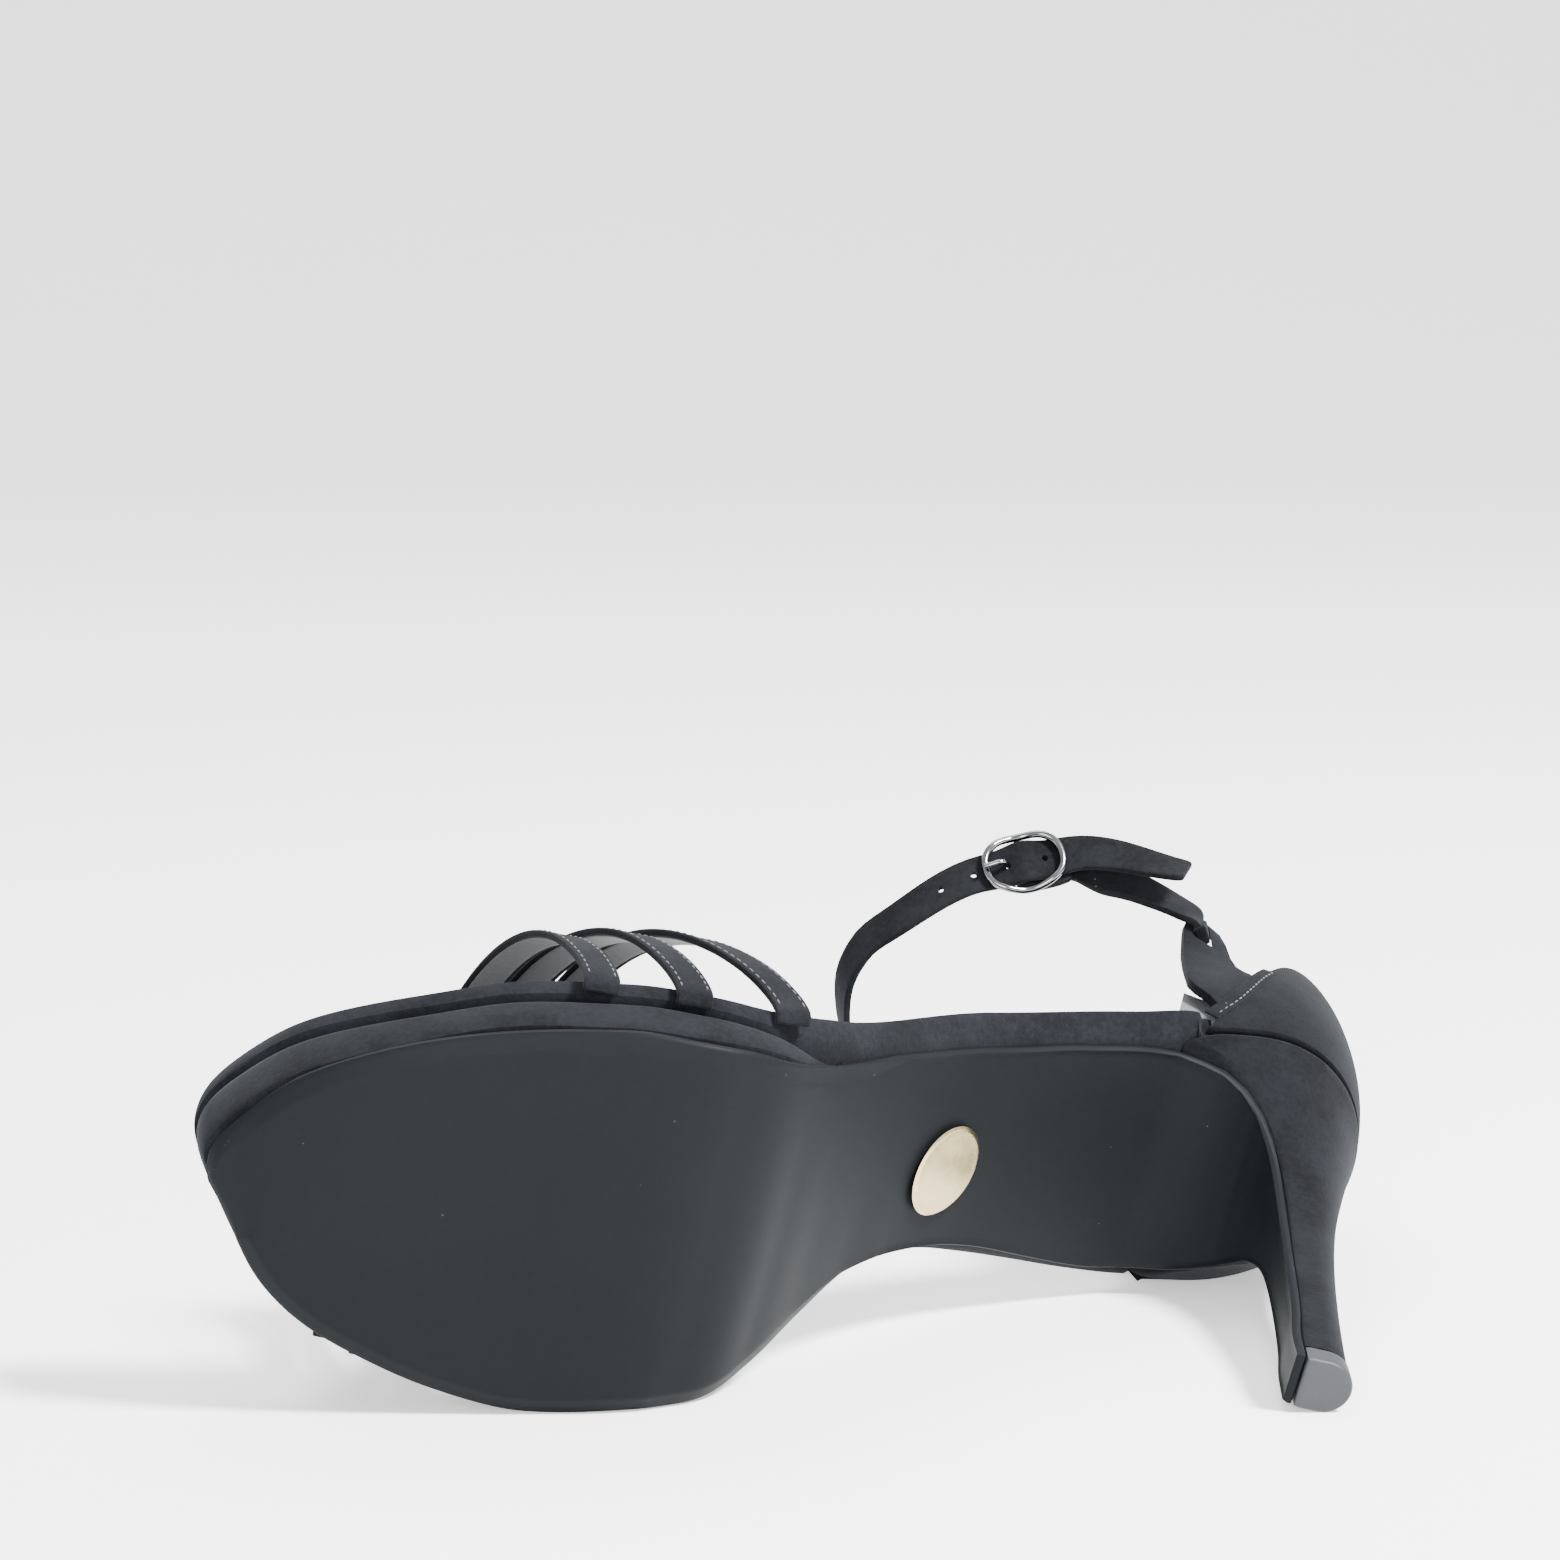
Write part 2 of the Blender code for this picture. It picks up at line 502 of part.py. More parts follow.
def shell(outer, wall, toward):
    """Closed wall on a grid of points, its thickness set towards the inside."""
    rows, columns = outer.shape[:2]
    across = np.gradient(outer, axis=1)
    upward = np.gradient(outer, axis=0)
    outward = unit(np.cross(across, upward))
    if np.dot(outward[rows // 2, columns // 2], toward) < 0:
        outward = -outward
    inner = outer - outward * wall
    points = np.concatenate((outer.reshape(-1, 3), inner.reshape(-1, 3)))
    skip = rows * columns
    faces = []
    for r in range(rows - 1):
        for c in range(columns - 1):
            a, b = r * columns + c, r * columns + c + 1
            faces.append((a, b, b + columns, a + columns))
            faces.append((skip + a, skip + a + columns, skip + b + columns, skip + b))
    edge = [c for c in range(columns)]
    edge += [r * columns + columns - 1 for r in range(1, rows)]
    edge += [(rows - 1) * columns + c for c in range(columns - 2, -1, -1)]
    edge += [r * columns for r in range(rows - 2, 0, -1)]
    for i, here in enumerate(edge):
        there = edge[(i + 1) % len(edge)]
        faces.append((here, there, skip + there, skip + here))
    return points, faces


def seam_y(share):
    """Place of the cup's front seam at a share of its height."""
    return SEAM_FOOT + (SEAM_TOP - SEAM_FOOT) * smooth(CUP, 1, share)


# Heel cup: a hollow wall round the heel, open in front and above
seat_back = CUP_BACK
cup_rows, cup_side = 10, 13
cup_grid = np.zeros((cup_rows, 2 * cup_side + 1, 3))
for r in range(cup_rows):
    share = r / (cup_rows - 1)
    back = seat_back + float(smooth(CUP, 3, share)) * LENGTH
    front = float(seam_y(share))
    for c in range(-cup_side, cup_side + 1):
        part = abs(c) / cup_side
        y = back + (front - back) * (1 - math.cos(math.pi / 2 * part ** 0.85))
        bend = max(1 - (y - back) / SEAT_ROUND, 0)
        half = SEAT_WIDTH / 2 * float(smooth(CUP, 2, share)) * math.sqrt(1 - min(bend, 1) ** 2.1)
        foot = float(np.interp(y, feather[:, 0], feather[:, 1]))
        back_foot = float(np.interp(seat_back, feather[:, 0], feather[:, 1]))
        top = back_foot + CUP_HEIGHT * float(smooth(TOP_LINE, 1, part))
        cup_grid[r, c + cup_side] = (math.copysign(half, c), y, foot + (top - foot) * share)
add_piece("heel_cup", *shell(cup_grid, CUP_WALL, (0, -1, 0)), (0.045, 0.045, 0.05), 0.9)

# Seam of the cup, as heights and half widths that the strap guides join
seam_edge = cup_grid[:, -1]


def guide_grid(side):
    """Outer face of a strap guide, from the cup's seam to its front edge."""
    rows, columns = 16, 7
    along = unit(np.gradient(seam_edge[:, 1:], axis=0))
    parted = seam_edge[:, 1:] + np.stack([along[:, 1], -along[:, 0]], axis=1) * 2 * GAP
    top = (GUIDE_REAR[0][1] * SEAM_FOOT, GUIDE_REAR[0][2] * ANKLE_HEIGHT)
    grid = np.zeros((rows, columns, 3))
    for r in range(rows):
        share = r / (rows - 1)
        front = np.array([float(smooth(GUIDE_FRONT, 1, share)) * SEAM_FOOT,
                          float(smooth(GUIDE_FRONT, 2, share)) * ANKLE_HEIGHT])
        if share < GUIDE_REAR[0][0]:
            z = GUIDE_FOOT * ANKLE_HEIGHT
            z += (top[1] - z) * share / GUIDE_REAR[0][0]
            rear = np.array([np.interp(z, parted[:, 1], parted[:, 0]), z])
        else:
            rear = np.array([float(smooth(GUIDE_REAR, 1, share)) * SEAM_FOOT,
                             float(smooth(GUIDE_REAR, 2, share)) * ANKLE_HEIGHT])
        for c in range(columns):
            y, z = rear + (front - rear) * c / (columns - 1)
            seam = float(np.interp(z, seam_edge[:, 2], seam_edge[:, 1]))
            width = float(np.interp(z, seam_edge[:, 2], seam_edge[:, 0]))
            ahead = max(y - seam, 0) / (SEAM_FOOT - SEAM_TOP)
            raised = float(ease(0.72, 1.0, z / ANKLE_HEIGHT))
            reach = width + (ANKLE_HALF - STRAP_THICK - GAP - width) * min(ahead, 1) * raised
            grid[r, c] = (side * reach, y, z)
    return grid


def cut(piece, cutter):
    """A Boolean difference that stays on the piece."""
    cutter.hide_render = True
    cutter.display_type = "WIRE"
    cutter.parent = shoe
    if cutter.name not in bpy.context.scene.collection.objects:
        bpy.context.scene.collection.objects.link(cutter)
    tool = piece.modifiers.new("cut", "BOOLEAN")
    tool.operation = "DIFFERENCE"
    tool.object = cutter
    tool.solver = "EXACT"


def block(name, centre, sizes, axes):
    """A box with the given axes, to cut with."""
    mesh = bpy.data.meshes.new(name)
    work = bmesh.new()
    bmesh.ops.create_cube(work, size=1.0)
    turn = Matrix([[axes[c][r] for c in range(3)] for r in range(3)]).to_4x4()
    grow = Matrix.Diagonal((*sizes, 1))
    work.transform(Matrix.Translation(Vector(centre)) @ turn @ grow)
    bmesh.ops.recalc_face_normals(work, faces=work.faces)
    work.to_mesh(mesh)
    work.free()
    return bpy.data.objects.new(name, mesh)


# Route of the ankle strap: a smooth line through the chosen places
def route_line():
    """Points, width directions and outward directions along the route."""
    rows = np.array(ROUTE) * (ANKLE_HALF, ANKLE_REACH, ANKLE_HEIGHT, 1)
    run = run_length(rows[:, :3])
    table = [(run[i], *rows[i]) for i in range(len(rows))]
    at = np.linspace(0, run[-1], 400)
    line = np.stack([smooth(table, c, at) for c in (1, 2, 3)], axis=1)
    for _ in range(6):
        line[1:-1] = 0.25 * line[:-2] + 0.5 * line[1:-1] + 0.25 * line[2:]
    tilt = np.radians(smooth(table, 4, at))
    along = unit(np.gradient(line, axis=0))
    upright = np.array([0, 0, 1.0]) - along * along[:, 2:3]
    upright = unit(upright)
    outward = unit(np.cross(along, upright))
    middle = line.mean(axis=0)
    if np.dot(outward[200], line[200] - middle) < 0:
        outward = -outward
    wide = upright * np.cos(tilt)[:, None] + outward * np.sin(tilt)[:, None]
    face = outward * np.cos(tilt)[:, None] - upright * np.sin(tilt)[:, None]
    return line, wide, face, run_length(line)


route, route_wide, route_face, route_run = route_line()
lateral_half = route[:, 0] < 0
near = np.abs(route[:, 1] - BUCKLE_AT[0] * ANKLE_REACH) + 10 * (~lateral_half)
bar_run = float(route_run[int(np.argmin(near))])


# The strap runs straight through the stiff buckle
bar_index = int(np.argmin(near))
held = 1 - ease(8.8 * MM, 13.5 * MM, np.abs(route_run - bar_run))[:, None]
held_along = unit(route[bar_index + 1] - route[bar_index - 1])
held_face = unit(route_face[bar_index] - held_along * np.dot(route_face[bar_index], held_along))
held_wide = np.cross(held_along, held_face)
held_wide = held_wide * np.sign(np.dot(held_wide, route_wide[bar_index]))
straight = route[bar_index] + held_along * (route_run - bar_run)[:, None]
route = route * (1 - held) + straight * held
route_wide = unit(route_wide * (1 - held) + held_wide * held)
route_face = unit(route_face * (1 - held) + held_face * held)


def on_route(at, off):
    """Point, width and face direction at a distance along, lifted off the route."""
    point = np.stack([np.interp(at, route_run, c) for c in route.T], axis=-1)
    wide = unit(np.stack([np.interp(at, route_run, c) for c in route_wide.T], axis=-1))
    face = unit(np.stack([np.interp(at, route_run, c) for c in route_face.T], axis=-1))
    return point + face * np.asarray(off)[..., None], wide, face


def ribbon(line, wide, width, thick):
    """Rings of a strap with softened edges along a line."""
    along = unit(np.gradient(line, axis=0))
    wide = unit(wide - along * np.sum(wide * along, axis=1)[:, None])
    face = unit(np.cross(along, wide))
    soft = 0.28 * thick
    width = np.broadcast_to(width, len(line))
    corners = ((1, 1, 0, soft), (1, 1, soft, 0), (-1, 1, soft, 0), (-1, 1, 0, soft),
               (-1, -1, 0, soft), (-1, -1, soft, 0), (1, -1, soft, 0), (1, -1, 0, soft))
    rings = []
    for i in range(len(line)):
        ring = [line[i] + wide[i] * a * (width[i] / 2 - across) + face[i] * b * (thick / 2 - out)
                for a, b, across, out in corners]
        rings.append(np.array(ring))
    return rings


# Strap guides: wings of the cup, each with a slot for the ankle strap
for side, name in ((-1, "guide_lateral"), (1, "guide_medial")):
    guide = add_piece(name, *shell(guide_grid(side), GUIDE_WALL, (side, 0, 0)), (0.045, 0.045, 0.05), 0.9)
    away = np.abs(np.abs(route[:, 0]) - (ANKLE_HALF - STRAP_THICK - GAP - GUIDE_WALL / 2))
    step = int(np.argmin(away + (np.sign(route[:, 0]) != side) + (route[:, 1] > 0.4 * ANKLE_REACH)))
    forward = unit(route[step + 1] - route[step - 1])
    axes = (forward, unit(np.cross(route_wide[step], forward)), route_wide[step])
    slot = block(name + "_slot", route[step],
                 (9 * MM, STRAP_THICK + 5 * GAP, STRAP_WIDTH + 5 * GAP), axes)
    cut(guide, slot)

# Toe straps: bands over the toes, tucked into the groove under the rim
for name, lateral_end, medial_end, rise, sweep in TOE_STRAPS:
    count = 160
    t = np.linspace(0, 1, count)
    y = LENGTH * (lateral_end + (medial_end - lateral_end) * (1 - (1 - t) ** sweep))
    clear = GAP + TOE_STRAP_THICK / 2
    turn = math.pi * t
    across = np.sign(np.cos(turn)) * np.abs(np.cos(turn)) ** 0.714
    half = np.zeros(count)
    for aside in (-0.6, -0.3, 0, 0.3, 0.6):
        beside = y + aside * TOE_STRAP_WIDTH
        edge = np.where(across > 0, rim_half(beside, 1), rim_half(beside, 2))
        half = np.maximum(half, edge)
    half = half + clear
    foot = bed_height(y) - BOARD_THICK
    top = STACK + TOE_RISE * rise
    up = foot + (top - foot) * np.sin(turn) ** 0.714
    line = np.stack([-half * across, y, up], axis=1)
    steep = np.stack([-np.sign(across) * np.abs(across) ** 1.8 / 38,
                      np.zeros(count),
                      np.clip(np.sin(turn), 0, 1) ** 1.3 / 45], axis=1)
    run = run_length(line)
    at = np.linspace(0, run[-1], 25)
    even = np.stack([np.interp(at, run, c) for c in line.T], axis=1)
    face = np.stack([np.interp(at, run, c) for c in steep.T], axis=1)
    along = unit(np.gradient(even, axis=0))
    wide = unit(np.cross(face, along))
    rings = ribbon(even, wide, TOE_STRAP_WIDTH, TOE_STRAP_THICK)
    add_piece(name, *loft(rings), (0.045, 0.045, 0.05), 0.9)

# Long ankle strap: from inside the medial guide round the instep and through
# the buckle, over its bar, to a free end that springs away
strap_half = STRAP_THICK / 2
layer = STRAP_THICK + GAP
over = BAR / 2 + GAP + layer + strap_half
rest = BUCKLE_ARCH - WIRE / 2 - GAP - strap_half
long_at = np.concatenate((np.linspace(route_run[-1], bar_run + 14 * MM, 34),
                          np.linspace(bar_run + 12 * MM, bar_run - 12 * MM, 19),
                          np.linspace(bar_run - 15 * MM, bar_run - FREE_END + 2.6 * MM, 6),
                          bar_run - FREE_END + np.array([1.3, 0.4, 0.0]) * MM))
ahead = long_at - bar_run
hump = (over - rest) * np.exp(-(ahead / (3.0 * MM)) ** 2)
settled = rest * (1 - ease(8.5 * MM, 16 * MM, ahead))
sprung = FREE_SPRING * ease(9 * MM, FREE_END * 1.15, -ahead)
long_line, long_wide, _ = on_route(long_at, settled + hump + sprung)
tail = np.clip((FREE_END + ahead) / (0.35 * STRAP_WIDTH), 0, 1)
long_width = STRAP_WIDTH * (0.66 + 0.34 * np.sqrt(1 - (1 - tail) ** 2))
long_strap = add_piece("ankle_strap", *loft(ribbon(long_line, long_wide, long_width, STRAP_THICK)),
                       (0.045, 0.045, 0.05), 0.9)

# Short buckle strap: from inside the lateral guide, folded round the bar
wrap = BAR / 2 + GAP + strap_half
low_run = rest - 2 * layer
arc = np.linspace(-math.pi / 2, math.pi / 2, 9)
back_at = np.linspace(bar_run - 2.6 * MM, bar_run - 10 * MM, 5)
run_in = np.linspace(0, bar_run - 2 * MM, 26)
run_off = low_run * ease(-26 * MM, -10 * MM, run_in - bar_run)
short_at = np.concatenate((run_in, bar_run + wrap * np.cos(arc), back_at))
short_off = np.concatenate((run_off, wrap * np.sin(arc), low_run + layer + 0 * back_at))
short_line, short_wide, _ = on_route(short_at, short_off)
short_strap = add_piece("buckle_strap", *loft(ribbon(short_line, short_wide, STRAP_WIDTH, STRAP_THICK)),
                        (0.045, 0.045, 0.05), 0.9)

# Buckle: an arched oval of wire with a centre bar, and its prong
bar_point, bar_wide, bar_face = on_route(np.array([bar_run]), np.array([0.0]))
bar_point, bar_wide, bar_face = bar_point[0], bar_wide[0], bar_face[0]
forward_point, _, _ = on_route(np.array([bar_run + 1 * MM]), np.array([0.0]))
bar_along = unit(forward_point[0] - bar_point)
bar_along = unit(bar_along - bar_face * np.dot(bar_along, bar_face))
bar_wide = np.cross(bar_face, bar_along)


def at_buckle(along, out, wide):
    """Point in the buckle's own frame."""
    return bar_point + bar_along * along + bar_face * out + bar_wide * wide


def rod(line, radius, closed=False, sides=8):
    """Rings of a round wire along a line."""
    if closed:
        along = unit(np.roll(line, -1, axis=0) - np.roll(line, 1, axis=0))
    else:
        along = unit(np.gradient(line, axis=0))
    side = unit(np.cross(along, bar_face))
    up = np.cross(side, along)
    angle = np.linspace(0, 2 * math.pi, sides, endpoint=False)
    return [line[i] + radius * (np.cos(angle)[:, None] * side[i] + np.sin(angle)[:, None] * up[i])
            for i in range(len(line))]


turn = np.linspace(0, 2 * math.pi, 40, endpoint=False)
ring_long = BUCKLE_LONG / 2 - WIRE / 2
ring_wide = BUCKLE_WIDE / 2 - WIRE / 2
ring_t = np.sign(np.cos(turn)) * np.abs(np.cos(turn)) ** 0.72 * ring_long
ring_w = np.sign(np.sin(turn)) * np.abs(np.sin(turn)) ** 0.72 * ring_wide
ring_n = BUCKLE_SIDES + (BUCKLE_ARCH - BUCKLE_SIDES) * ease(0.05, 0.72, np.abs(ring_t) / ring_long)
ring_line = np.array([at_buckle(t, n, w) for t, n, w in zip(ring_t, ring_n, ring_w)])
buckle = add_piece("buckle_frame", *loft(rod(ring_line, WIRE / 2, True), True), (0.55, 0.55, 0.56), 0.25, 1)
dip = ring_wide - 1.0 * MM
bar_line = np.array([at_buckle(0, n, w) for n, w in (
    (BUCKLE_SIDES, -ring_wide), (0.35 * BUCKLE_SIDES, -dip - 0.2 * MM), (0, -dip + 0.5 * MM),
    (0, dip - 0.5 * MM), (0.35 * BUCKLE_SIDES, dip + 0.2 * MM), (BUCKLE_SIDES, ring_wide))])
bar_round = np.linspace(0, 2 * math.pi, 8, endpoint=False)
bar_rings = []
for point, before, after in zip(bar_line, bar_line[[0, 0, 1, 2, 3, 4]], bar_line[[1, 2, 3, 4, 5, 5]]):
    upright = unit(np.cross(unit(after - before), bar_along))
    bar_rings.append(point + BAR / 2 * (np.cos(bar_round)[:, None] * bar_along
                                        + np.sin(bar_round)[:, None] * upright))
bar_rod = add_piece("buckle_bar_tool", *loft(bar_rings), (0.55, 0.55, 0.56), 0.25, 1)
bar_rod.hide_render = True
bar_rod.display_type = "WIRE"
join_bar = buckle.modifiers.new("bar", "BOOLEAN")
join_bar.operation = "UNION"
join_bar.object = bar_rod
join_bar.solver = "EXACT"

# Prong: from beside the bar, up through the strap and on to the ring's end
prong_top = BUCKLE_ARCH + WIRE / 2 + GAP + PRONG / 2
prong_rows = ((0.30, 0.10), (0.42, 0.55), (0.52, 1.00), (0.66, 1.12), (0.85, 1.03), (1.06, 1.00))
prong_line = np.array([at_buckle(ring_long * a, prong_top * b, 0) for a, b in prong_rows])
prong_line = resample(prong_line, 12)
prong_line[0] = at_buckle(BAR / 2 + GAP + PRONG / 2, 0, 0)
add_piece("buckle_prong", *loft(rod(prong_line, PRONG / 2)), (0.55, 0.55, 0.56), 0.25, 1)
for piece, name in ((long_strap, "strap_hole"), (short_strap, "fold_slot")):
    hole_centre = at_buckle(0.40 * ring_long, 0.55 * prong_top, 0)
    cut(piece, block(name, hole_centre, (4.6 * MM, 9 * MM, PRONG_HOLE),
                     (bar_along, bar_face, bar_wide)))

# Badge: a bare domed oval under the waist
badge_run = float(np.interp(0.390 * LENGTH, sole_line[:, 0], sole_run))
badge_centre = np.array([np.interp(badge_run, sole_run, c) for c in sole_line.T])
badge_lower = np.array([np.interp(badge_run, sole_run, c) for c in sole_back.T])
badge_out = np.array([0, *unit(badge_centre - badge_lower)])
slope = np.array([np.interp(badge_run + MM, sole_run, c) for c in sole_line.T]) - badge_centre
badge_toe = unit(np.array([0, *slope]))
across_turn = math.radians(15)
badge_x = np.array([1.0, 0, 0]) * math.cos(across_turn) + badge_toe * math.sin(across_turn)
badge_y = np.cross(badge_out, badge_x)
badge_at = np.array([-0.5 * MM, *badge_centre])
around = np.linspace(0, 2 * math.pi, 32, endpoint=False)


def sole_drop(points):
    """Distance of points from the badge's plane to the curved waist under them."""
    moved = np.abs(points @ badge_toe - badge_at @ badge_toe)
    return moved ** 2 / (2 * 160 * MM)


badge_rings = []
for size, out in ((0.96, GAP), (1.0, GAP + 0.25 * BADGE_THICK), (0.93, GAP + 0.62 * BADGE_THICK),
                  (0.80, GAP + 0.62 * BADGE_THICK), (0.50, GAP + 0.90 * BADGE_THICK),
                  (0.15, GAP + BADGE_THICK)):
    flat = (np.cos(around)[:, None] * badge_x * BADGE_LONG / 2
            + np.sin(around)[:, None] * badge_y * BADGE_WIDE / 2) * size
    badge_rings.append(badge_at + flat + badge_out * (out + sole_drop(badge_at + flat))[:, None])
add_piece("badge", *loft(badge_rings), (0.66, 0.56, 0.36), 0.3, 1)


def lay_down():
    """Turn the shoe so that the hull facet under its weight lies on the floor."""
    solids = [child for child in shoe.children if not child.hide_render]
    cloud = bmesh.new()
    weight, centre = 0.0, np.zeros(3)
    for solid in solids:
        mesh = solid.data
        corners = np.array([vertex.co[:] for vertex in mesh.vertices])
        for x, y, z in corners:
            cloud.verts.new((x, y, z))
        for face in mesh.polygons:
            spots = corners[list(face.vertices)]
            for k in range(1, len(spots) - 1):
                volume = np.dot(spots[0], np.cross(spots[k], spots[k + 1])) / 6
                weight += volume
                centre += volume * (spots[0] + spots[k] + spots[k + 1]) / 4
    centre = centre / weight
    bmesh.ops.convex_hull(cloud, input=cloud.verts)
    best, best_area, down = None, 0.0, None
    for face in cloud.faces:
        normal = np.array(face.normal)
        if normal[0] < 0.6 or face.calc_area() < best_area:
            continue
        spots = np.array([vertex.co[:] for vertex in face.verts])
        foot = centre + normal * np.dot(spots[0] - centre, normal)
        inside = all(np.dot(np.cross(spots[(k + 1) % len(spots)] - spots[k], foot - spots[k]),
                            normal) > 0 for k in range(len(spots)))
        if inside:
            best, best_area, down = spots, face.calc_area(), normal
    cloud.free()
    heel_ward = unit(np.array([0, -1.0, 0]) + down * down[1])
    turn = np.array([heel_ward, np.cross(-down, heel_ward), -down])
    low, high = np.full(3, 9.0), np.full(3, -9.0)
    for solid in solids:
        placed = np.array([vertex.co[:] for vertex in solid.data.vertices]) @ turn.T
        low, high = np.minimum(low, placed.min(axis=0)), np.maximum(high, placed.max(axis=0))
    shift = Vector((-(low[0] + high[0]) / 2, -(low[1] + high[1]) / 2, -low[2]))
    shoe.matrix_world = Matrix.Translation(shift) @ Matrix(turn.tolist()).to_4x4()


lay_down()
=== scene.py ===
import json
import math

import bpy
import numpy as np
from mathutils import Matrix, Vector

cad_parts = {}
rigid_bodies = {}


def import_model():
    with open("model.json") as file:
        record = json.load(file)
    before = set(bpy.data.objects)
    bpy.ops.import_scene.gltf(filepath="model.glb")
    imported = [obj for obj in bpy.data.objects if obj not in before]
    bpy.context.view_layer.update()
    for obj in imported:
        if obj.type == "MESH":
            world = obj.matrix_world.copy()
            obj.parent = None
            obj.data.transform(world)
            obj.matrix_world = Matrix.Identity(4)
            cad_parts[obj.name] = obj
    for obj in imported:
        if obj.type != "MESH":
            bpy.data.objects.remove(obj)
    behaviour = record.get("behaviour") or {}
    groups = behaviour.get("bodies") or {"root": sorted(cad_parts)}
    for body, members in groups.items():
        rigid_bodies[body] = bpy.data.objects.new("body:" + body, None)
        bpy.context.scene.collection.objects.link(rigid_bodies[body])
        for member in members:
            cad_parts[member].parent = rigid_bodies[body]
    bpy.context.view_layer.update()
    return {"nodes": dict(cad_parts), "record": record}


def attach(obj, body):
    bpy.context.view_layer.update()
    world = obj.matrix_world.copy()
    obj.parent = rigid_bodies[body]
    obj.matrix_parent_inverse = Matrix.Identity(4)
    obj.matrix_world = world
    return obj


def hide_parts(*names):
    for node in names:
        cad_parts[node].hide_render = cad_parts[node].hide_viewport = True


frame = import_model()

# View: the sandal lies on its inner side with its sole towards the camera, on
# a pale floor that curves up behind it, under large soft studio lights.
bpy.ops.object.select_all(action="DESELECT")
bpy.ops.object.camera_add(location=(-0.0635, -0.9128, 0.2294),
                          rotation=(math.radians(82.08), 0, math.radians(-3.64)))
camera = bpy.context.object
camera.name = "photo_camera"
camera.data.sensor_width = 36
camera.data.lens = 115.4
bpy.context.scene.camera = camera


class Tone:
    """A socket in a material: Python's operators on it add its Math nodes."""

    def __init__(self, tree, socket):
        self.tree, self.socket = tree, socket

    def node(self, kind, settings, inputs, output=0):
        """Adds one node: its settings first, then the values or links of its inputs."""
        made = self.tree.nodes.new(kind)
        for key, value in settings.items():
            setattr(made, key, value)
        for key, value in inputs.items():
            if isinstance(value, Tone):
                self.tree.links.new(value.socket, made.inputs[key])
            else:
                made.inputs[key].default_value = value
        return Tone(self.tree, made.outputs[output])

    def maths(self, operation, *values):
        return self.node("ShaderNodeMath", {"operation": operation}, dict(enumerate(values)))

    def __add__(self, other):
        return self.maths("ADD", self, other)

    def __sub__(self, other):
        return self.maths("SUBTRACT", self, other)

    def __rsub__(self, other):
        return self.maths("SUBTRACT", other, self)

    def __mul__(self, other):
        return self.maths("MULTIPLY", self, other)

    __radd__, __rmul__ = __add__, __mul__

    def step(self, low, high):
        """0 below low, 1 above high, with a soft step between them."""
        return self.node("ShaderNodeMapRange", {"interpolation_type": "SMOOTHSTEP"},
                         {"Value": self, "From Min": low, "From Max": high})

    def noise(self, scale, detail=3.0, rough=0.55):
        """Cloudy noise at a place, with features of about 1 / scale metres."""
        return self.node("ShaderNodeTexNoise", {},
                         {"Vector": self, "Scale": scale, "Detail": detail, "Roughness": rough})

    def blend(self, first, second):
        """A colour from the first to the second as this value goes from 0 to 1."""
        return self.node("ShaderNodeMix", {"data_type": "RGBA"}, {0: self, 6: first, 7: second}, 2)

    def into(self, shader, name):
        self.tree.links.new(self.socket, shader.inputs[name])

    def relief(self, shader, depth, strength=1.0):
        """Raises the surface by this height times a depth in metres."""
        bump = self.node("ShaderNodeBump", {}, {"Height": self, "Distance": depth, "Strength": strength})
        bump.into(shader, "Normal")


def new_finish(name, **fixed):
    """A material with its constant values set, its place on the object and its shader."""
    material = bpy.data.materials.new(name)
    material.use_nodes = True
    tree = material.node_tree
    shader = tree.nodes["Principled BSDF"]
    for key, value in fixed.items():
        shader.inputs[key.replace("_", " ")].default_value = value
    place = Tone(tree, None).node("ShaderNodeTexCoord", {}, {}, "Object")
    return material, place, shader


bpy.ops.mesh.primitive_plane_add(size=7, location=(0, 0.5, 0))
floor = bpy.context.object
floor.name = "floor"
bpy.ops.object.transform_apply(location=True, rotation=True, scale=True)
bpy.ops.object.mode_set(mode="EDIT")
bpy.ops.mesh.select_mode(type="EDGE")
bpy.ops.mesh.select_all(action="DESELECT")
bpy.ops.object.mode_set(mode="OBJECT")
for edge in floor.data.edges:
    edge.select = all(floor.data.vertices[i].co.y > 3 for i in edge.vertices)
bpy.ops.object.mode_set(mode="EDIT")
bpy.ops.mesh.extrude_region_move(TRANSFORM_OT_translate={"value": (0, 0, 4)})
bpy.ops.object.mode_set(mode="OBJECT")
for edge in floor.data.edges:
    edge.select = all(floor.data.vertices[i].co.y > 3 and floor.data.vertices[i].co.z < 1
                      for i in edge.vertices)
bpy.ops.object.mode_set(mode="EDIT")
bpy.ops.mesh.bevel(offset=2.0, segments=24, affect="EDGES")
bpy.ops.object.mode_set(mode="OBJECT")
bpy.ops.object.shade_smooth()
paper, place, shader = new_finish("studio_paper", Roughness=0.8, Specular_IOR_Level=0.2)
place.noise(30).blend((0.89, 0.89, 0.89, 1), (0.90, 0.90, 0.90, 1)).into(shader, "Base Color")
shader.inputs["Emission Color"].default_value = (1, 1, 1, 1)
shader.inputs["Emission Strength"].default_value = 0.6
floor.data.materials.append(paper)

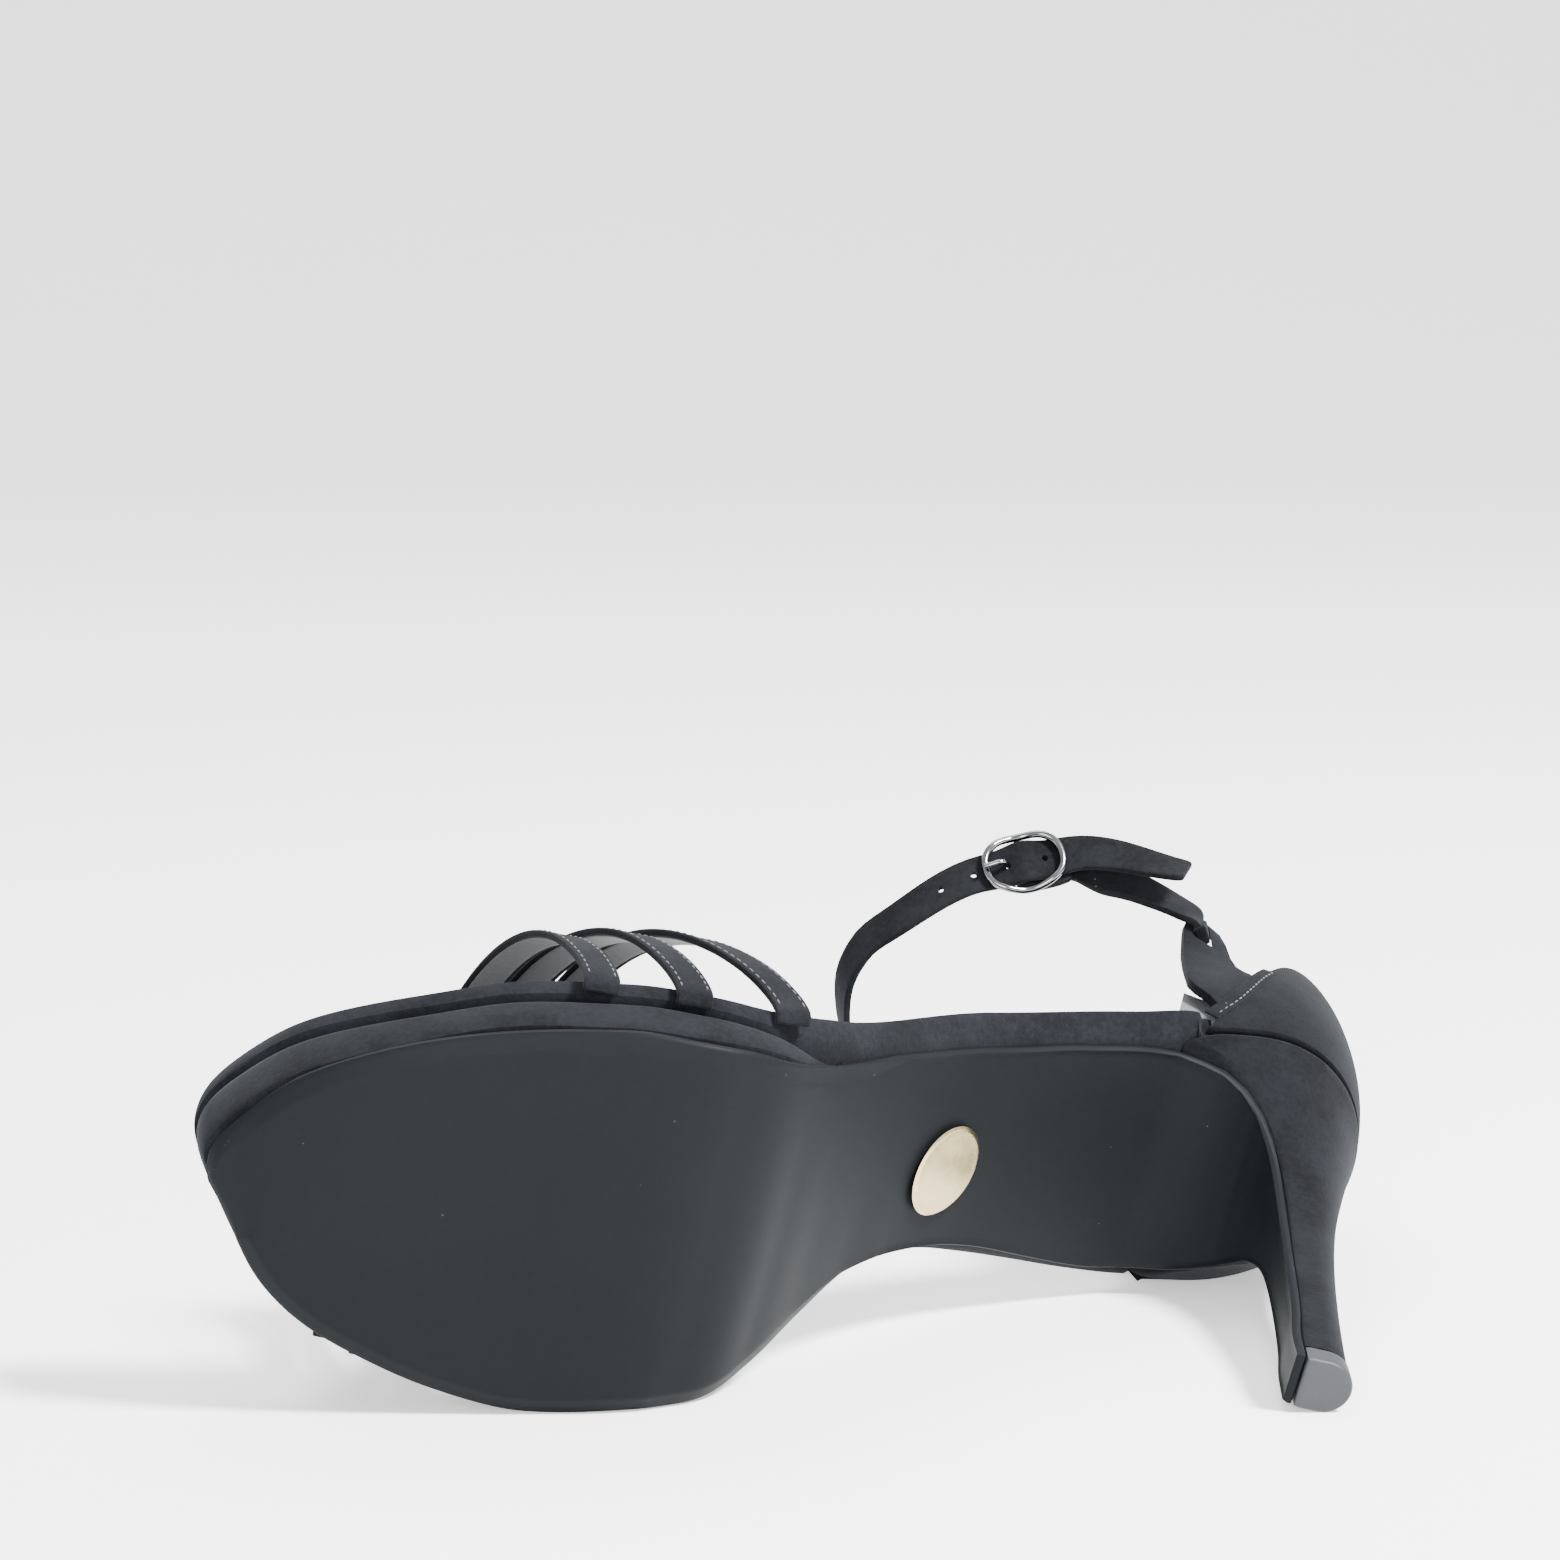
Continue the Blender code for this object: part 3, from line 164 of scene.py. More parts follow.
for name, spot, size, power in (("key_light", (0.85, -0.6, 1.2), 0.35, 120),
                                ("top_light", (-0.1, 0.7, 1.7), 1.4, 26),
                                ("front_light", (-0.5, -2.2, 0.75), 1.1, 50)):
    bpy.ops.object.light_add(type="AREA", location=spot)
    light = bpy.context.object
    light.name = name
    light.data.shape = "DISK"
    light.data.size = size
    light.data.energy = power
    light.rotation_euler = (Vector((0, 0, 0.04)) - Vector(spot)).to_track_quat("-Z", "Y").to_euler()
studio = bpy.data.worlds.new("studio")
studio.use_nodes = True
studio.node_tree.nodes["Background"].inputs["Color"].default_value = (0.97, 0.98, 1.0, 1)
studio.node_tree.nodes["Background"].inputs["Strength"].default_value = 1.25
bpy.context.scene.world = studio

# Standing shoe: measured on it, x is from the lateral to the medial side, y from the
# heel to the toe and z up from the tread. The mounts say how it was laid down.
MM = 0.001
LENGTH = 221 * MM
mounts = {mount["name"]: mount for mount in frame["record"]["mounts"]}
tread_up = -Vector(mounts["heel_tip"]["axis"]).normalized()
toe_ward = tread_up.cross(Vector((0, 1, 0))).normalized()
laid = Matrix([(*row, 0) for row in zip(toe_ward.cross(tread_up), toe_ward, tread_up)] + [(0, 0, 0, 1)])
laid = Matrix.Translation(Vector(mounts["heel_tip"]["pos_m"]) - laid @ Vector((0, 19.5 * MM, 0))) @ laid
standing = laid.inverted()


def ease(low, high, at):
    """0 below low, 1 above high, and a soft step between."""
    t = np.clip((np.asarray(at, dtype=float) - low) / (high - low), 0, 1)
    return t * t * (3 - 2 * t)


def pick(piece, test):
    """Selects the faces of a piece that pass a test, and nothing else."""
    bpy.ops.object.mode_set(mode="EDIT")
    bpy.ops.mesh.select_mode(type="FACE")
    bpy.ops.mesh.select_all(action="DESELECT")
    bpy.ops.object.mode_set(mode="OBJECT")
    for face in piece.data.polygons:
        face.select = bool(test(face))


def only(piece):
    """Makes a piece the only one selected."""
    bpy.ops.object.select_all(action="DESELECT")
    piece.select_set(True)
    bpy.context.view_layer.objects.active = piece


def copy_of(node, name):
    """A copy of a CAD node with its points merged and its triangles paired."""
    piece = bpy.data.objects.new(name, frame["nodes"][node].data.copy())
    bpy.context.scene.collection.objects.link(piece)
    only(piece)
    piece.data.materials.clear()
    bpy.ops.object.mode_set(mode="EDIT")
    bpy.ops.mesh.select_all(action="SELECT")
    bpy.ops.mesh.remove_doubles(threshold=0.000002)
    bpy.ops.mesh.customdata_custom_splitnormals_clear()
    bpy.ops.mesh.tris_convert_to_quads(face_threshold=math.radians(25), shape_threshold=math.radians(120))
    bpy.ops.object.mode_set(mode="OBJECT")
    return piece


def soften(piece, sharp=30, crease=0.75, levels=2, longest=1.0):
    """Rounds a piece by subdivision, and holds its short sharp edges by a crease."""
    only(piece)
    bpy.ops.object.mode_set(mode="EDIT")
    bpy.ops.mesh.select_mode(type="EDGE")
    bpy.ops.mesh.select_all(action="DESELECT")
    bpy.ops.mesh.edges_select_sharp(sharpness=math.radians(sharp))
    bpy.ops.object.mode_set(mode="OBJECT")
    for edge in piece.data.edges:
        first, last = (piece.data.vertices[i].co for i in edge.vertices)
        edge.select = edge.select and (first - last).length < longest
    bpy.ops.object.mode_set(mode="EDIT")
    bpy.ops.transform.edge_crease(value=crease)
    bpy.ops.object.mode_set(mode="OBJECT")
    rounding = piece.modifiers.new("rounding", "SUBSURF")
    rounding.levels = rounding.render_levels = levels
    bpy.ops.object.modifier_apply(modifier="rounding")
    bpy.ops.object.shade_smooth_by_angle(angle=math.radians(35))


def fit(piece, finish, slot, *nodes):
    """Gives a piece its finish and fixes it to the body for these CAD nodes."""
    if finish:
        piece.data.materials.clear()
        piece.data.materials.append(finish)
    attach(piece, "root")
    if nodes:
        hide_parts(*nodes)


# Outsole: one moulded black sheet with a satin face, bevelled round the tread. Under
# the waist and seat it is thin with a fine raised lip, and it ends down the heel's breast.
def satin_sole(name):
    """Smooth black sole material with faint scuffs and a soft gloss."""
    material, place, shader = new_finish(name, Specular_IOR_Level=0.05)
    cloud = place.noise(38, 4)
    scuff = place.noise(900, 2)
    fleck = place.node("ShaderNodeTexVoronoi", {}, {"Vector": place, "Scale": 260.0})
    dust = (1 - fleck.step(0.035, 0.06)) * place.noise(60).step(0.56, 0.62)
    shade = (cloud * 0.7 + scuff * 0.3).blend((0.0040, 0.0050, 0.0058, 1), (0.0070, 0.0083, 0.0096, 1))
    (dust * 0.5).blend(shade, (0.06, 0.06, 0.06, 1)).into(shader, "Base Color")
    (0.42 + cloud * 0.12 + scuff * 0.06).into(shader, "Roughness")
    (place.noise(2600, 2) * 0.5 + scuff * 0.5).relief(shader, 0.00004, 0.5)
    return material


LIP_WIDTH = 0.8 * MM
LIP_DEPTH = 0.35 * MM
outsole = copy_of("outsole", "outsole_sheet")
pick(outsole, lambda face: (standing @ face.center).y > 0.955 * LENGTH)
bpy.ops.object.mode_set(mode="EDIT")
bpy.ops.mesh.vertices_smooth(factor=0.5, repeat=3)
bpy.ops.object.mode_set(mode="OBJECT")
pick(outsole, lambda face: face.normal.dot(tread_up) < -0.25 and face.area > 2e-5
     or (face.normal.dot(toe_ward) > 0.7 and (standing @ face.center).y < 0.16 * LENGTH and face.area > 1e-5))
bpy.ops.object.mode_set(mode="EDIT")
bpy.ops.mesh.inset(thickness=LIP_WIDTH, depth=0, use_even_offset=True)
bpy.ops.object.mode_set(mode="OBJECT")
push = {}
for face in outsole.data.polygons:
    if face.select:
        for i in face.vertices:
            push.setdefault(i, Vector()).__iadd__(face.normal)
for i, normal in push.items():
    point = outsole.data.vertices[i]
    along = (standing @ point.co).y / LENGTH
    point.co -= normal.normalized() * LIP_DEPTH * float(1 - ease(0.40, 0.48, along))
soften(outsole, sharp=14, crease=0.85, longest=9 * MM)
fit(outsole, satin_sole("satin_black_sole"), "outsole", "outsole")


# Platform: the forefoot block between outsole and rim, wrapped in black suede that
# turns under at both edges and runs out to nothing at the waist.
def suede(name, shade, lint=0.5):
    """Black suede: soft nap in light and dark patches, short hairs and pale lint."""
    material, place, shader = new_finish(name, Roughness=0.95, Specular_IOR_Level=0.05, Sheen_Weight=0.05,
                                         Sheen_Roughness=0.45, Sheen_Tint=(0.75, 0.78, 0.85, 1))
    patch = place.noise(75, 4, 0.6)
    nap = place.noise(900, 3, 0.6)
    hair = place.noise(3200, 2)
    dark = tuple(0.36 * value for value in shade) + (1,)
    light = tuple(0.95 * value for value in shade) + (1,)
    cover = (patch * 0.5 + nap * 0.3 + hair * 0.2).step(0.36, 0.64).blend(dark, light)
    speck = place.node("ShaderNodeTexVoronoi", {}, {"Vector": place, "Scale": 330.0})
    pale = (1 - speck.step(0.05, 0.085)) * place.noise(140, 2).step(0.60, 0.66)
    (pale * lint).blend(cover, (0.12, 0.125, 0.135, 1)).into(shader, "Base Color")
    (hair * 0.55 + nap * 0.45).relief(shader, 0.00022, 0.55)
    return material


platform = copy_of("platform", "platform_cover")
tail = min((standing @ point.co).y for point in platform.data.vertices)
for point in platform.data.vertices:
    spot = standing @ point.co
    spot.x *= 1 - 0.13 * float(1 - ease(tail, tail + 16 * MM, spot.y))
    point.co = laid @ spot
soften(platform, sharp=30, crease=0.88)
fit(platform, suede("platform_suede", (0.0090, 0.0098, 0.0120)), "platform", "platform")

# Insole board: the stiff board under the foot, its edge wrapped in the same suede,
# which shows as a rounded rim all round the shoe.
board = copy_of("insole_board", "insole_board_rim")
soften(board, sharp=28, crease=0.8)
fit(board, suede("rim_suede", (0.0095, 0.0105, 0.0130)), "insole_board", "insole_board")


# Sock: the thin smooth lining glued on the board, that the foot stands on.
def smooth_lining(name, shade):
    """Dark grey lining leather with a fine pebbled grain."""
    material, place, shader = new_finish(name, Specular_IOR_Level=0.35)
    pebble = place.node("ShaderNodeTexVoronoi", {"feature": "SMOOTH_F1"},
                        {"Vector": place, "Scale": 1300.0, "Smoothness": 0.6})
    cloud = place.noise(60, 3)
    dark = tuple(0.8 * value for value in shade) + (1,)
    light = tuple(1.2 * value for value in shade) + (1,)
    (cloud * 0.7 + pebble * 0.3).blend(dark, light).into(shader, "Base Color")
    (0.55 + cloud * 0.12).into(shader, "Roughness")
    pebble.relief(shader, 0.00008, 0.5)
    return material


sock = copy_of("insole_sock", "sock_lining")
soften(sock, sharp=40, crease=0.6)
fit(sock, smooth_lining("sock_grey", (0.022, 0.023, 0.025)), "insole_sock", "insole_sock")

# Heel: a slim moulded heel wrapped in suede, flaring into the seat under the cup.
# Its front is covered by the outsole's flap.
heel = copy_of("heel", "heel_cover")
for point in heel.data.vertices:
    if (standing @ point.co).z > 80 * MM:
        point.co += tread_up * 0.27 * MM
soften(heel, sharp=38, crease=0.6)
# The heel's suede is darker than the platform's and the straps': painted shade, against the brighter light that
# falls on the heel.
fit(heel, suede("heel_suede_painted_shade", (0.0064, 0.0070, 0.0086)), "heel", "heel")

# Top piece: the D-shaped rubber tip pinned under the heel, with a fine moulded grain.
top_piece = copy_of("top_piece", "top_piece_rubber")
soften(top_piece, sharp=38, crease=0.8)
rubber, place, shader = new_finish("tip_rubber", Specular_IOR_Level=0.4)
grain = place.noise(1500, 3)
grain.blend((0.012, 0.013, 0.015, 1), (0.024, 0.026, 0.030, 1)).into(shader, "Base Color")
(0.45 + grain * 0.2).into(shader, "Roughness")
grain.relief(shader, 0.00006, 0.6)
fit(top_piece, rubber, "top_piece", "top_piece")

# Heel cup: the hollow counter of suede over a stiffener, with a smooth lining sewn
# inside it and its top edge folded over.
cup = copy_of("heel_cup", "heel_cup_suede")
soften(cup, sharp=45, crease=0.45)
cup_middle = laid @ Vector((0, 34 * MM, 125 * MM))


def line_with(piece, name, test, thick, finish, slot):
    """A thin lining on the faces of a piece that pass a test, set back from its edges."""
    pick(piece, test)
    bpy.ops.object.mode_set(mode="EDIT")
    bpy.ops.mesh.select_less()
    bpy.ops.mesh.duplicate()
    bpy.ops.mesh.separate(type="SELECTED")
    bpy.ops.object.mode_set(mode="OBJECT")
    lining = [made for made in bpy.context.selected_objects if made != piece][0]
    lining.name = name
    only(lining)
    wall = lining.modifiers.new("wall", "SOLIDIFY")
    wall.thickness = thick
    wall.offset = 1
    bpy.ops.object.modifier_apply(modifier="wall")
    fit(lining, finish, slot)
    return lining


line_with(cup, "heel_cup_lining",
          lambda face: face.normal.dot(cup_middle - face.center) > 0.3 * (cup_middle - face.center).length,
          0.25 * MM, smooth_lining("cup_lining_grey", (0.045, 0.047, 0.05)), "heel_cup")
# The cup's suede is darker than the platform's and the straps': painted shade, against the brighter light on the
# cup's upturned side.
fit(cup, suede("cup_suede_painted_shade", (0.0056, 0.0062, 0.0076)), "heel_cup", "heel_cup")

# Strap guides: suede wings sewn to the cup's front edges, folded to a slot that the
# ankle strap comes out of.
# The guides, seam strips and slot edges share this darker copy of the black suede: painted shade, against the
# brighter light on them.
guide_suede_painted_shade = suede("guide_suede_painted_shade", (0.0056, 0.0062, 0.0076))
guide_lining = smooth_lining("guide_lining_grey", (0.09, 0.094, 0.10))
for side, name in ((-1, "guide_lateral"), (1, "guide_medial")):
    guide = copy_of(name, name + "_wing")
    inward = laid.to_3x3() @ Vector((-side, 0, 0))
    soft_edge = guide.modifiers.new("soft_edge", "BEVEL")
    soft_edge.width = 0.35 * MM
    soft_edge.segments = 3
    soft_edge.limit_method = "ANGLE"
    soft_edge.angle_limit = math.radians(50)
    bpy.ops.object.modifier_apply(modifier="soft_edge")
    bpy.ops.object.shade_smooth_by_angle(angle=math.radians(40))
    guide.data.materials.append(guide_suede_painted_shade)
    guide.data.materials.append(guide_lining)
    for face in guide.data.polygons:
        face.material_index = int(face.normal.dot(inward) > 0.55)
    fit(guide, None, name, name)


# Seams: a narrow turned-over strip and a row of stitches where the cup's front edge
# joins the guides, and the grey lining that shows under each guide.
def unit(vectors):
    """Vectors, one to a row, at length 1."""
    return vectors / np.linalg.norm(vectors, axis=-1, keepdims=True)


def run_length(points):
    """Distance along a line of points, from its first one."""
    return np.concatenate(([0.0], np.cumsum(np.linalg.norm(np.diff(points, axis=0), axis=1))))


def smooth(rows, column, at):
    """Value of one column of a table, by a monotone curve over its first column."""
    xs = np.array([row[0] for row in rows], dtype=float)
    ys = np.array([row[column] for row in rows], dtype=float)
    slope = np.diff(ys) / np.diff(xs)
    tangent = np.concatenate(([slope[0]], np.zeros(len(xs) - 2), [slope[-1]]))
    for i in range(1, len(xs) - 1):
        if slope[i - 1] * slope[i] > 0:
            tangent[i] = 2 * slope[i - 1] * slope[i] / (slope[i - 1] + slope[i])
    at = np.clip(np.asarray(at, dtype=float), xs[0], xs[-1])
    i = np.clip(np.searchsorted(xs, at) - 1, 0, len(xs) - 2)
    width = xs[i + 1] - xs[i]
    t = (at - xs[i]) / width
    return (ys[i] * (1 + 2 * t) * (1 - t) ** 2 + ys[i + 1] * t ** 2 * (3 - 2 * t)
            + width * t * (1 - t) * (tangent[i] * (1 - t) - tangent[i + 1] * t))


def along_line(at, run, *columns):
    """Points or directions at distances along a line."""
    return [np.stack([np.interp(at, run, c) for c in column.T], axis=-1) for column in columns]


def band(name, line, wide, width, thick, soft=0.3):
    """A flat strip bent to a line on the standing shoe, then given its thickness,
    soft edges and its place on the lying one."""
    along = unit(np.gradient(line, axis=0))
    wide = unit(wide - along * np.sum(wide * along, axis=1)[:, None])
    width = np.broadcast_to(width, len(line))
    bpy.ops.object.select_all(action="DESELECT")
    bpy.ops.mesh.primitive_grid_add(x_subdivisions=len(line) - 1, y_subdivisions=6, size=2)
    strip = bpy.context.object
    strip.name = name
    for point in strip.data.vertices:
        i = round((point.co.x + 1) / 2 * (len(line) - 1))
        point.co = line[i] + wide[i] * (point.co.y * width[i] / 2)
    strip.data.transform(laid)
    wall = strip.modifiers.new("wall", "SOLIDIFY")
    wall.thickness = thick
    wall.offset = 0
    bpy.ops.object.modifier_apply(modifier="wall")
    edge = strip.modifiers.new("edge", "BEVEL")
    edge.width = soft * thick
    edge.segments = 3
    edge.limit_method = "ANGLE"
    edge.angle_limit = math.radians(60)
    bpy.ops.object.modifier_apply(modifier="edge")
    bpy.ops.object.shade_smooth_by_angle(angle=math.radians(45))
    return strip


def stitch_row(name, points, outward, pitch, long, thick, finish, slot, clear=0.0):
    """Stitches along a line: one small rounded stitch, copied at even steps."""
    run = run_length(points)
    bpy.ops.object.select_all(action="DESELECT")
    bpy.ops.mesh.primitive_uv_sphere_add(segments=8, ring_count=6, radius=0.5)
    row = bpy.context.object
    row.name = name
    shape = np.array([point.co[:] for point in row.data.vertices]) * (long, thick, thick)
    faces = [tuple(face.vertices) for face in row.data.polygons]
    at = np.arange(pitch / 2 + clear, run[-1] - clear, pitch)
    spots, out = along_line(at, run, points, outward)
    ahead = along_line(np.clip(at + 0.3 * pitch, 0, run[-1]), run, points)[0]
    behind = along_line(np.clip(at - 0.3 * pitch, 0, run[-1]), run, points)[0]
    forward = unit(ahead - behind)
    out = unit(out - forward * np.sum(out * forward, axis=1)[:, None])
    side = np.cross(out, forward)
    corners = np.concatenate([spots[k] + shape @ np.array([forward[k], side[k], out[k]])
                              for k in range(len(at))])
    every = [tuple(i + k * len(shape) for i in face) for k in range(len(at)) for face in faces]
    row.data.clear_geometry()
    row.data.from_pydata(corners.tolist(), [], every)
    row.data.transform(laid)
    row.data.update()
    bpy.ops.object.shade_smooth()
    fit(row, finish, slot)
    return row


thread, place, shader = new_finish("black_thread", Roughness=0.6, Sheen_Weight=0.2)
twist = place.noise(2500, 1)
twist.blend((0.02, 0.021, 0.024, 1), (0.07, 0.072, 0.078, 1)).into(shader, "Base Color")
twist.relief(shader, 0.00006, 0.5)

SEAM_FOOT = 92.5 * MM
SEAM_RISE = 35 * MM
SEAM_WIDTH = 3 * MM
STITCH = 1.4 * MM
for side, name in ((-1, "lateral"), (1, "medial")):
    share = np.linspace(-0.02, 0.96, 40)
    seam_y = (39.8 - 15.8 * np.interp(share, (0, 0.1, 0.22, 0.35, 0.5, 0.7, 0.85, 1),
                                      (0, 0.17, 0.32, 0.44, 0.57, 0.73, 0.86, 1))) * MM
    spots, outs = [], []
    for y, part in zip(seam_y, share):
        found = cup.closest_point_on_mesh(laid @ Vector((side * 34 * MM, y - MM, SEAM_FOOT + SEAM_RISE * part)))
        spots.append((standing @ found[1])[:])
        outs.append((standing.to_3x3() @ found[2])[:])
    spots, outs = np.array(spots), np.array(outs)
    spots[:, 1] = seam_y - 0.6 * MM
    for _ in range(12):
        outs[1:-1] = 0.25 * outs[:-2] + 0.5 * outs[1:-1] + 0.25 * outs[2:]
        spots[1:-1] = 0.25 * spots[:-2] + 0.5 * spots[1:-1] + 0.25 * spots[2:]
    outs = unit(outs * (1, 0.2, 0.5))
    upward = unit(np.gradient(spots, axis=0))
    fit(band("seam_strip_" + name, spots + outs * 0.08 * MM, np.cross(outs, upward), SEAM_WIDTH, 0.36 * MM),
        guide_suede_painted_shade, "heel_cup")
    stitch_row("seam_stitches_" + name, spots - np.array([0, 0.9 * MM, 0]) + outs * 0.28 * MM, outs,
               1.5 * STITCH, STITCH, 0.3 * MM, thread, "heel_cup", 1 * MM)
    bpy.ops.object.select_all(action="DESELECT")
    bpy.ops.mesh.primitive_grid_add(x_subdivisions=6, y_subdivisions=6, size=2)
    tab = bpy.context.object
    tab.name = "lining_tab_" + name
    for point in tab.data.vertices:
        u, v = (point.co.x + 1) / 2, (point.co.y + 1) / 2
        rear = Vector((36.5, 93.0)).lerp(Vector((35.5, 105.0)), v)
        fore = Vector((45.0, 93.5)).lerp(Vector((42.2, 109.0)), v)
        spot = rear.lerp(fore, u)
        point.co = Vector((side * (24.6 - 0.5 * u), spot.x, spot.y)) * MM
    tab.data.transform(laid)
    wall = tab.modifiers.new("wall", "SOLIDIFY")
    wall.thickness = 0.8 * MM
    bpy.ops.object.modifier_apply(modifier="wall")
    fit(tab, guide_lining, "guide_" + name)

# Toe straps: three narrow suede bands over the toes, each with a lining of its own
# width less the folded edges, and a row of stitches along both edges.
BALL_WIDTH = 75 * MM
SEAT_HEIGHT = 106 * MM
STACK = 18.5 * MM
BED = ((0.000, 1.000), (0.068, 0.960), (0.136, 0.903), (0.199, 0.835), (0.249, 0.774),
       (0.294, 0.710), (0.339, 0.634), (0.385, 0.543), (0.428, 0.435), (0.476, 0.295),
       (0.519, 0.166), (0.557, 0.066), (0.597, 0.009), (0.633, 0.000), (1.000, 0.000))
RIM = ((0.457, 0.827, 0.488), (0.484, 0.853, 0.533), (0.511, 0.893, 0.640), (0.538, 0.950, 0.760),
       (0.575, 1.005, 0.867), (0.615, 1.043, 0.960), (0.665, 1.037, 1.040), (0.715, 0.990, 1.088),
       (0.774, 0.915, 1.075), (0.842, 0.752, 0.987), (0.887, 0.627, 0.893), (0.937, 0.445, 0.707))
TOE_WIDTH = 6.4 * MM
TOE_THICK = 1.6 * MM
TOE_RISE = 41.5 * MM


def rim_half(y, side):
    """Half width of the foot bed's rim at the forefoot."""
    rows = [(-math.sqrt(1 - row[0]), row[side]) for row in RIM]
    return smooth(rows, 1, -np.sqrt(1 - y / LENGTH)) * BALL_WIDTH / 2


toe_suede = suede("toe_strap_suede", (0.0095, 0.0102, 0.0122), lint=0.6)
toe_lining = smooth_lining("toe_lining_grey", (0.05, 0.052, 0.055))
for name, lateral_end, medial_end, rise, sweep in (("toe_strap_front", 0.717, 0.8566, 1.01, 1.6),
                                                   ("toe_strap_middle", 0.644, 0.8258, 1.13, 1.9),
                                                   ("toe_strap_rear", 0.564, 0.7900, 1.29, 2.1)):
    t = np.linspace(0, 1, 200)
    y = LENGTH * (lateral_end + (medial_end - lateral_end) * (1 - (1 - t) ** sweep))
    turn = math.pi * t
    across = np.sign(np.cos(turn)) * np.abs(np.cos(turn)) ** 0.714
    half = np.max([np.where(across > 0, rim_half(y + aside * TOE_WIDTH, 1), rim_half(y + aside * TOE_WIDTH, 2))
                   for aside in (-0.6, -0.3, 0, 0.3, 0.6)], axis=0) + 0.3 * MM + TOE_THICK / 2
    foot = STACK + (SEAT_HEIGHT - STACK) * smooth(BED, 1, y / LENGTH) - 4.5 * MM
    up = foot + (STACK + TOE_RISE * rise - foot) * np.sin(turn) ** 0.714
    line = np.stack([-half * across, y, up], axis=1)
    steep = np.stack([-np.sign(across) * np.abs(across) ** 1.8 / 38, np.zeros(200),
                      np.clip(np.sin(turn), 0, 1) ** 1.3 / 45], axis=1)
    run = run_length(line)
    line, steep = along_line(np.linspace(0, run[-1], 110), run, line, steep)
    tucked = []
    for base, near in ((line[0], line[2]), (line[-1], line[-3])):
        inward = np.array([-math.copysign(1, base[0]), 0, 0])
        tucked.append([base + unit(base - near) * down * MM + inward * turn_in * MM
                       for down, turn_in in ((0.5, 0.2), (0.9, 0.8), (1.1, 1.8))])
    line = np.concatenate((tucked[0][::-1], line, tucked[1]))
    steep = np.concatenate((steep[[0, 0, 0]], steep, steep[[-1, -1, -1]]))
    for _ in range(2):
        line[1:-1] = 0.25 * line[:-2] + 0.5 * line[1:-1] + 0.25 * line[2:]
    along = unit(np.gradient(line, axis=0))
    wide = unit(np.cross(steep, along))
    out = unit(np.cross(along, wide))
    fit(band(name + "_band", line, wide, TOE_WIDTH, TOE_THICK - 0.3 * MM), toe_suede, name, name)
    fit(band(name + "_lining", line - out * (TOE_THICK / 2 - 0.1 * MM), wide, TOE_WIDTH - 1.7 * MM, 0.3 * MM),
        toe_lining, name)
    for row, aside in (("_stitches_front", 1), ("_stitches_rear", -1)):
        stitch_row(name + row, line + wide * aside * (TOE_WIDTH / 2 - 0.9 * MM)
                   + out * (TOE_THICK / 2 - 0.15 * MM), out, 2.3 * MM, 1.5 * MM, 0.3 * MM, thread, name, 4 * MM)

# Ankle strap: the long suede strap from the inner guide round the instep and through
# the buckle, with punched holes and a free end that springs away.
ANKLE = (31 * MM, 104.5 * MM, 138 * MM)
ROUTE = ((-0.715, 0.292, 0.976, 0), (-0.730, 0.312, 0.976, 0), (-0.778, 0.334, 0.977, 0),
         (-0.905, 0.354, 0.980, 2), (-0.990, 0.372, 0.986, 5), (-1.008, 0.400, 0.998, 9),
         (-1.035, 0.455, 1.012, 18), (-1.045, 0.525, 1.036, 32),
         (-1.030, 0.625, 1.054, 42), (-0.990, 0.704, 1.050, 45), (-0.890, 0.772, 1.020, 43),
         (-0.710, 0.848, 1.011, 38), (-0.468, 0.922, 1.007, 32), (-0.258, 0.968, 1.007, 26),
         (-0.032, 0.983, 1.004, 20), (0.242, 0.966, 1.000, 12), (0.516, 0.908, 1.000, 8),
         (0.758, 0.806, 1.000, 5), (0.903, 0.670, 0.996, 2), (0.975, 0.526, 0.992, 0),
         (1.008, 0.415, 0.986, 0), (0.990, 0.372, 0.982, 0), (0.905, 0.354, 0.979, 0),
         (0.778, 0.334, 0.977, 0), (0.730, 0.312, 0.976, 0), (0.715, 0.292, 0.976, 0))
STRAP_WIDTH = 7.5 * MM
STRAP_THICK = 1.3 * MM
GAP = 0.3 * MM
BUCKLE_LONG = 17 * MM
BUCKLE_WIDE = 13 * MM
BUCKLE_ARCH = 3.4 * MM
BUCKLE_SIDES = 2.2 * MM
WIRE = 1.5 * MM
BAR = 1.4 * MM
PRONG = 1.1 * MM
FREE_END = 31 * MM

rows = np.array(ROUTE) * (*ANKLE, 1)
run = run_length(rows[:, :3])
table = [(run[i], *rows[i]) for i in range(len(rows))]
at = np.linspace(0, run[-1], 400)
route = np.stack([smooth(table, c, at) for c in (1, 2, 3)], axis=1)
for _ in range(6):
    route[1:-1] = 0.25 * route[:-2] + 0.5 * route[1:-1] + 0.25 * route[2:]
tilt = np.radians(smooth(table, 4, at))[:, None]
along = unit(np.gradient(route, axis=0))
upright = unit(np.array([0, 0, 1.0]) - along * along[:, 2:3])
outward = unit(np.cross(along, upright))
outward = outward * np.sign(np.dot(outward[200], route[200] - route.mean(axis=0)))
route_wide = upright * np.cos(tilt) + outward * np.sin(tilt)
route_face = outward * np.cos(tilt) - upright * np.sin(tilt)
route_run = run_length(route)
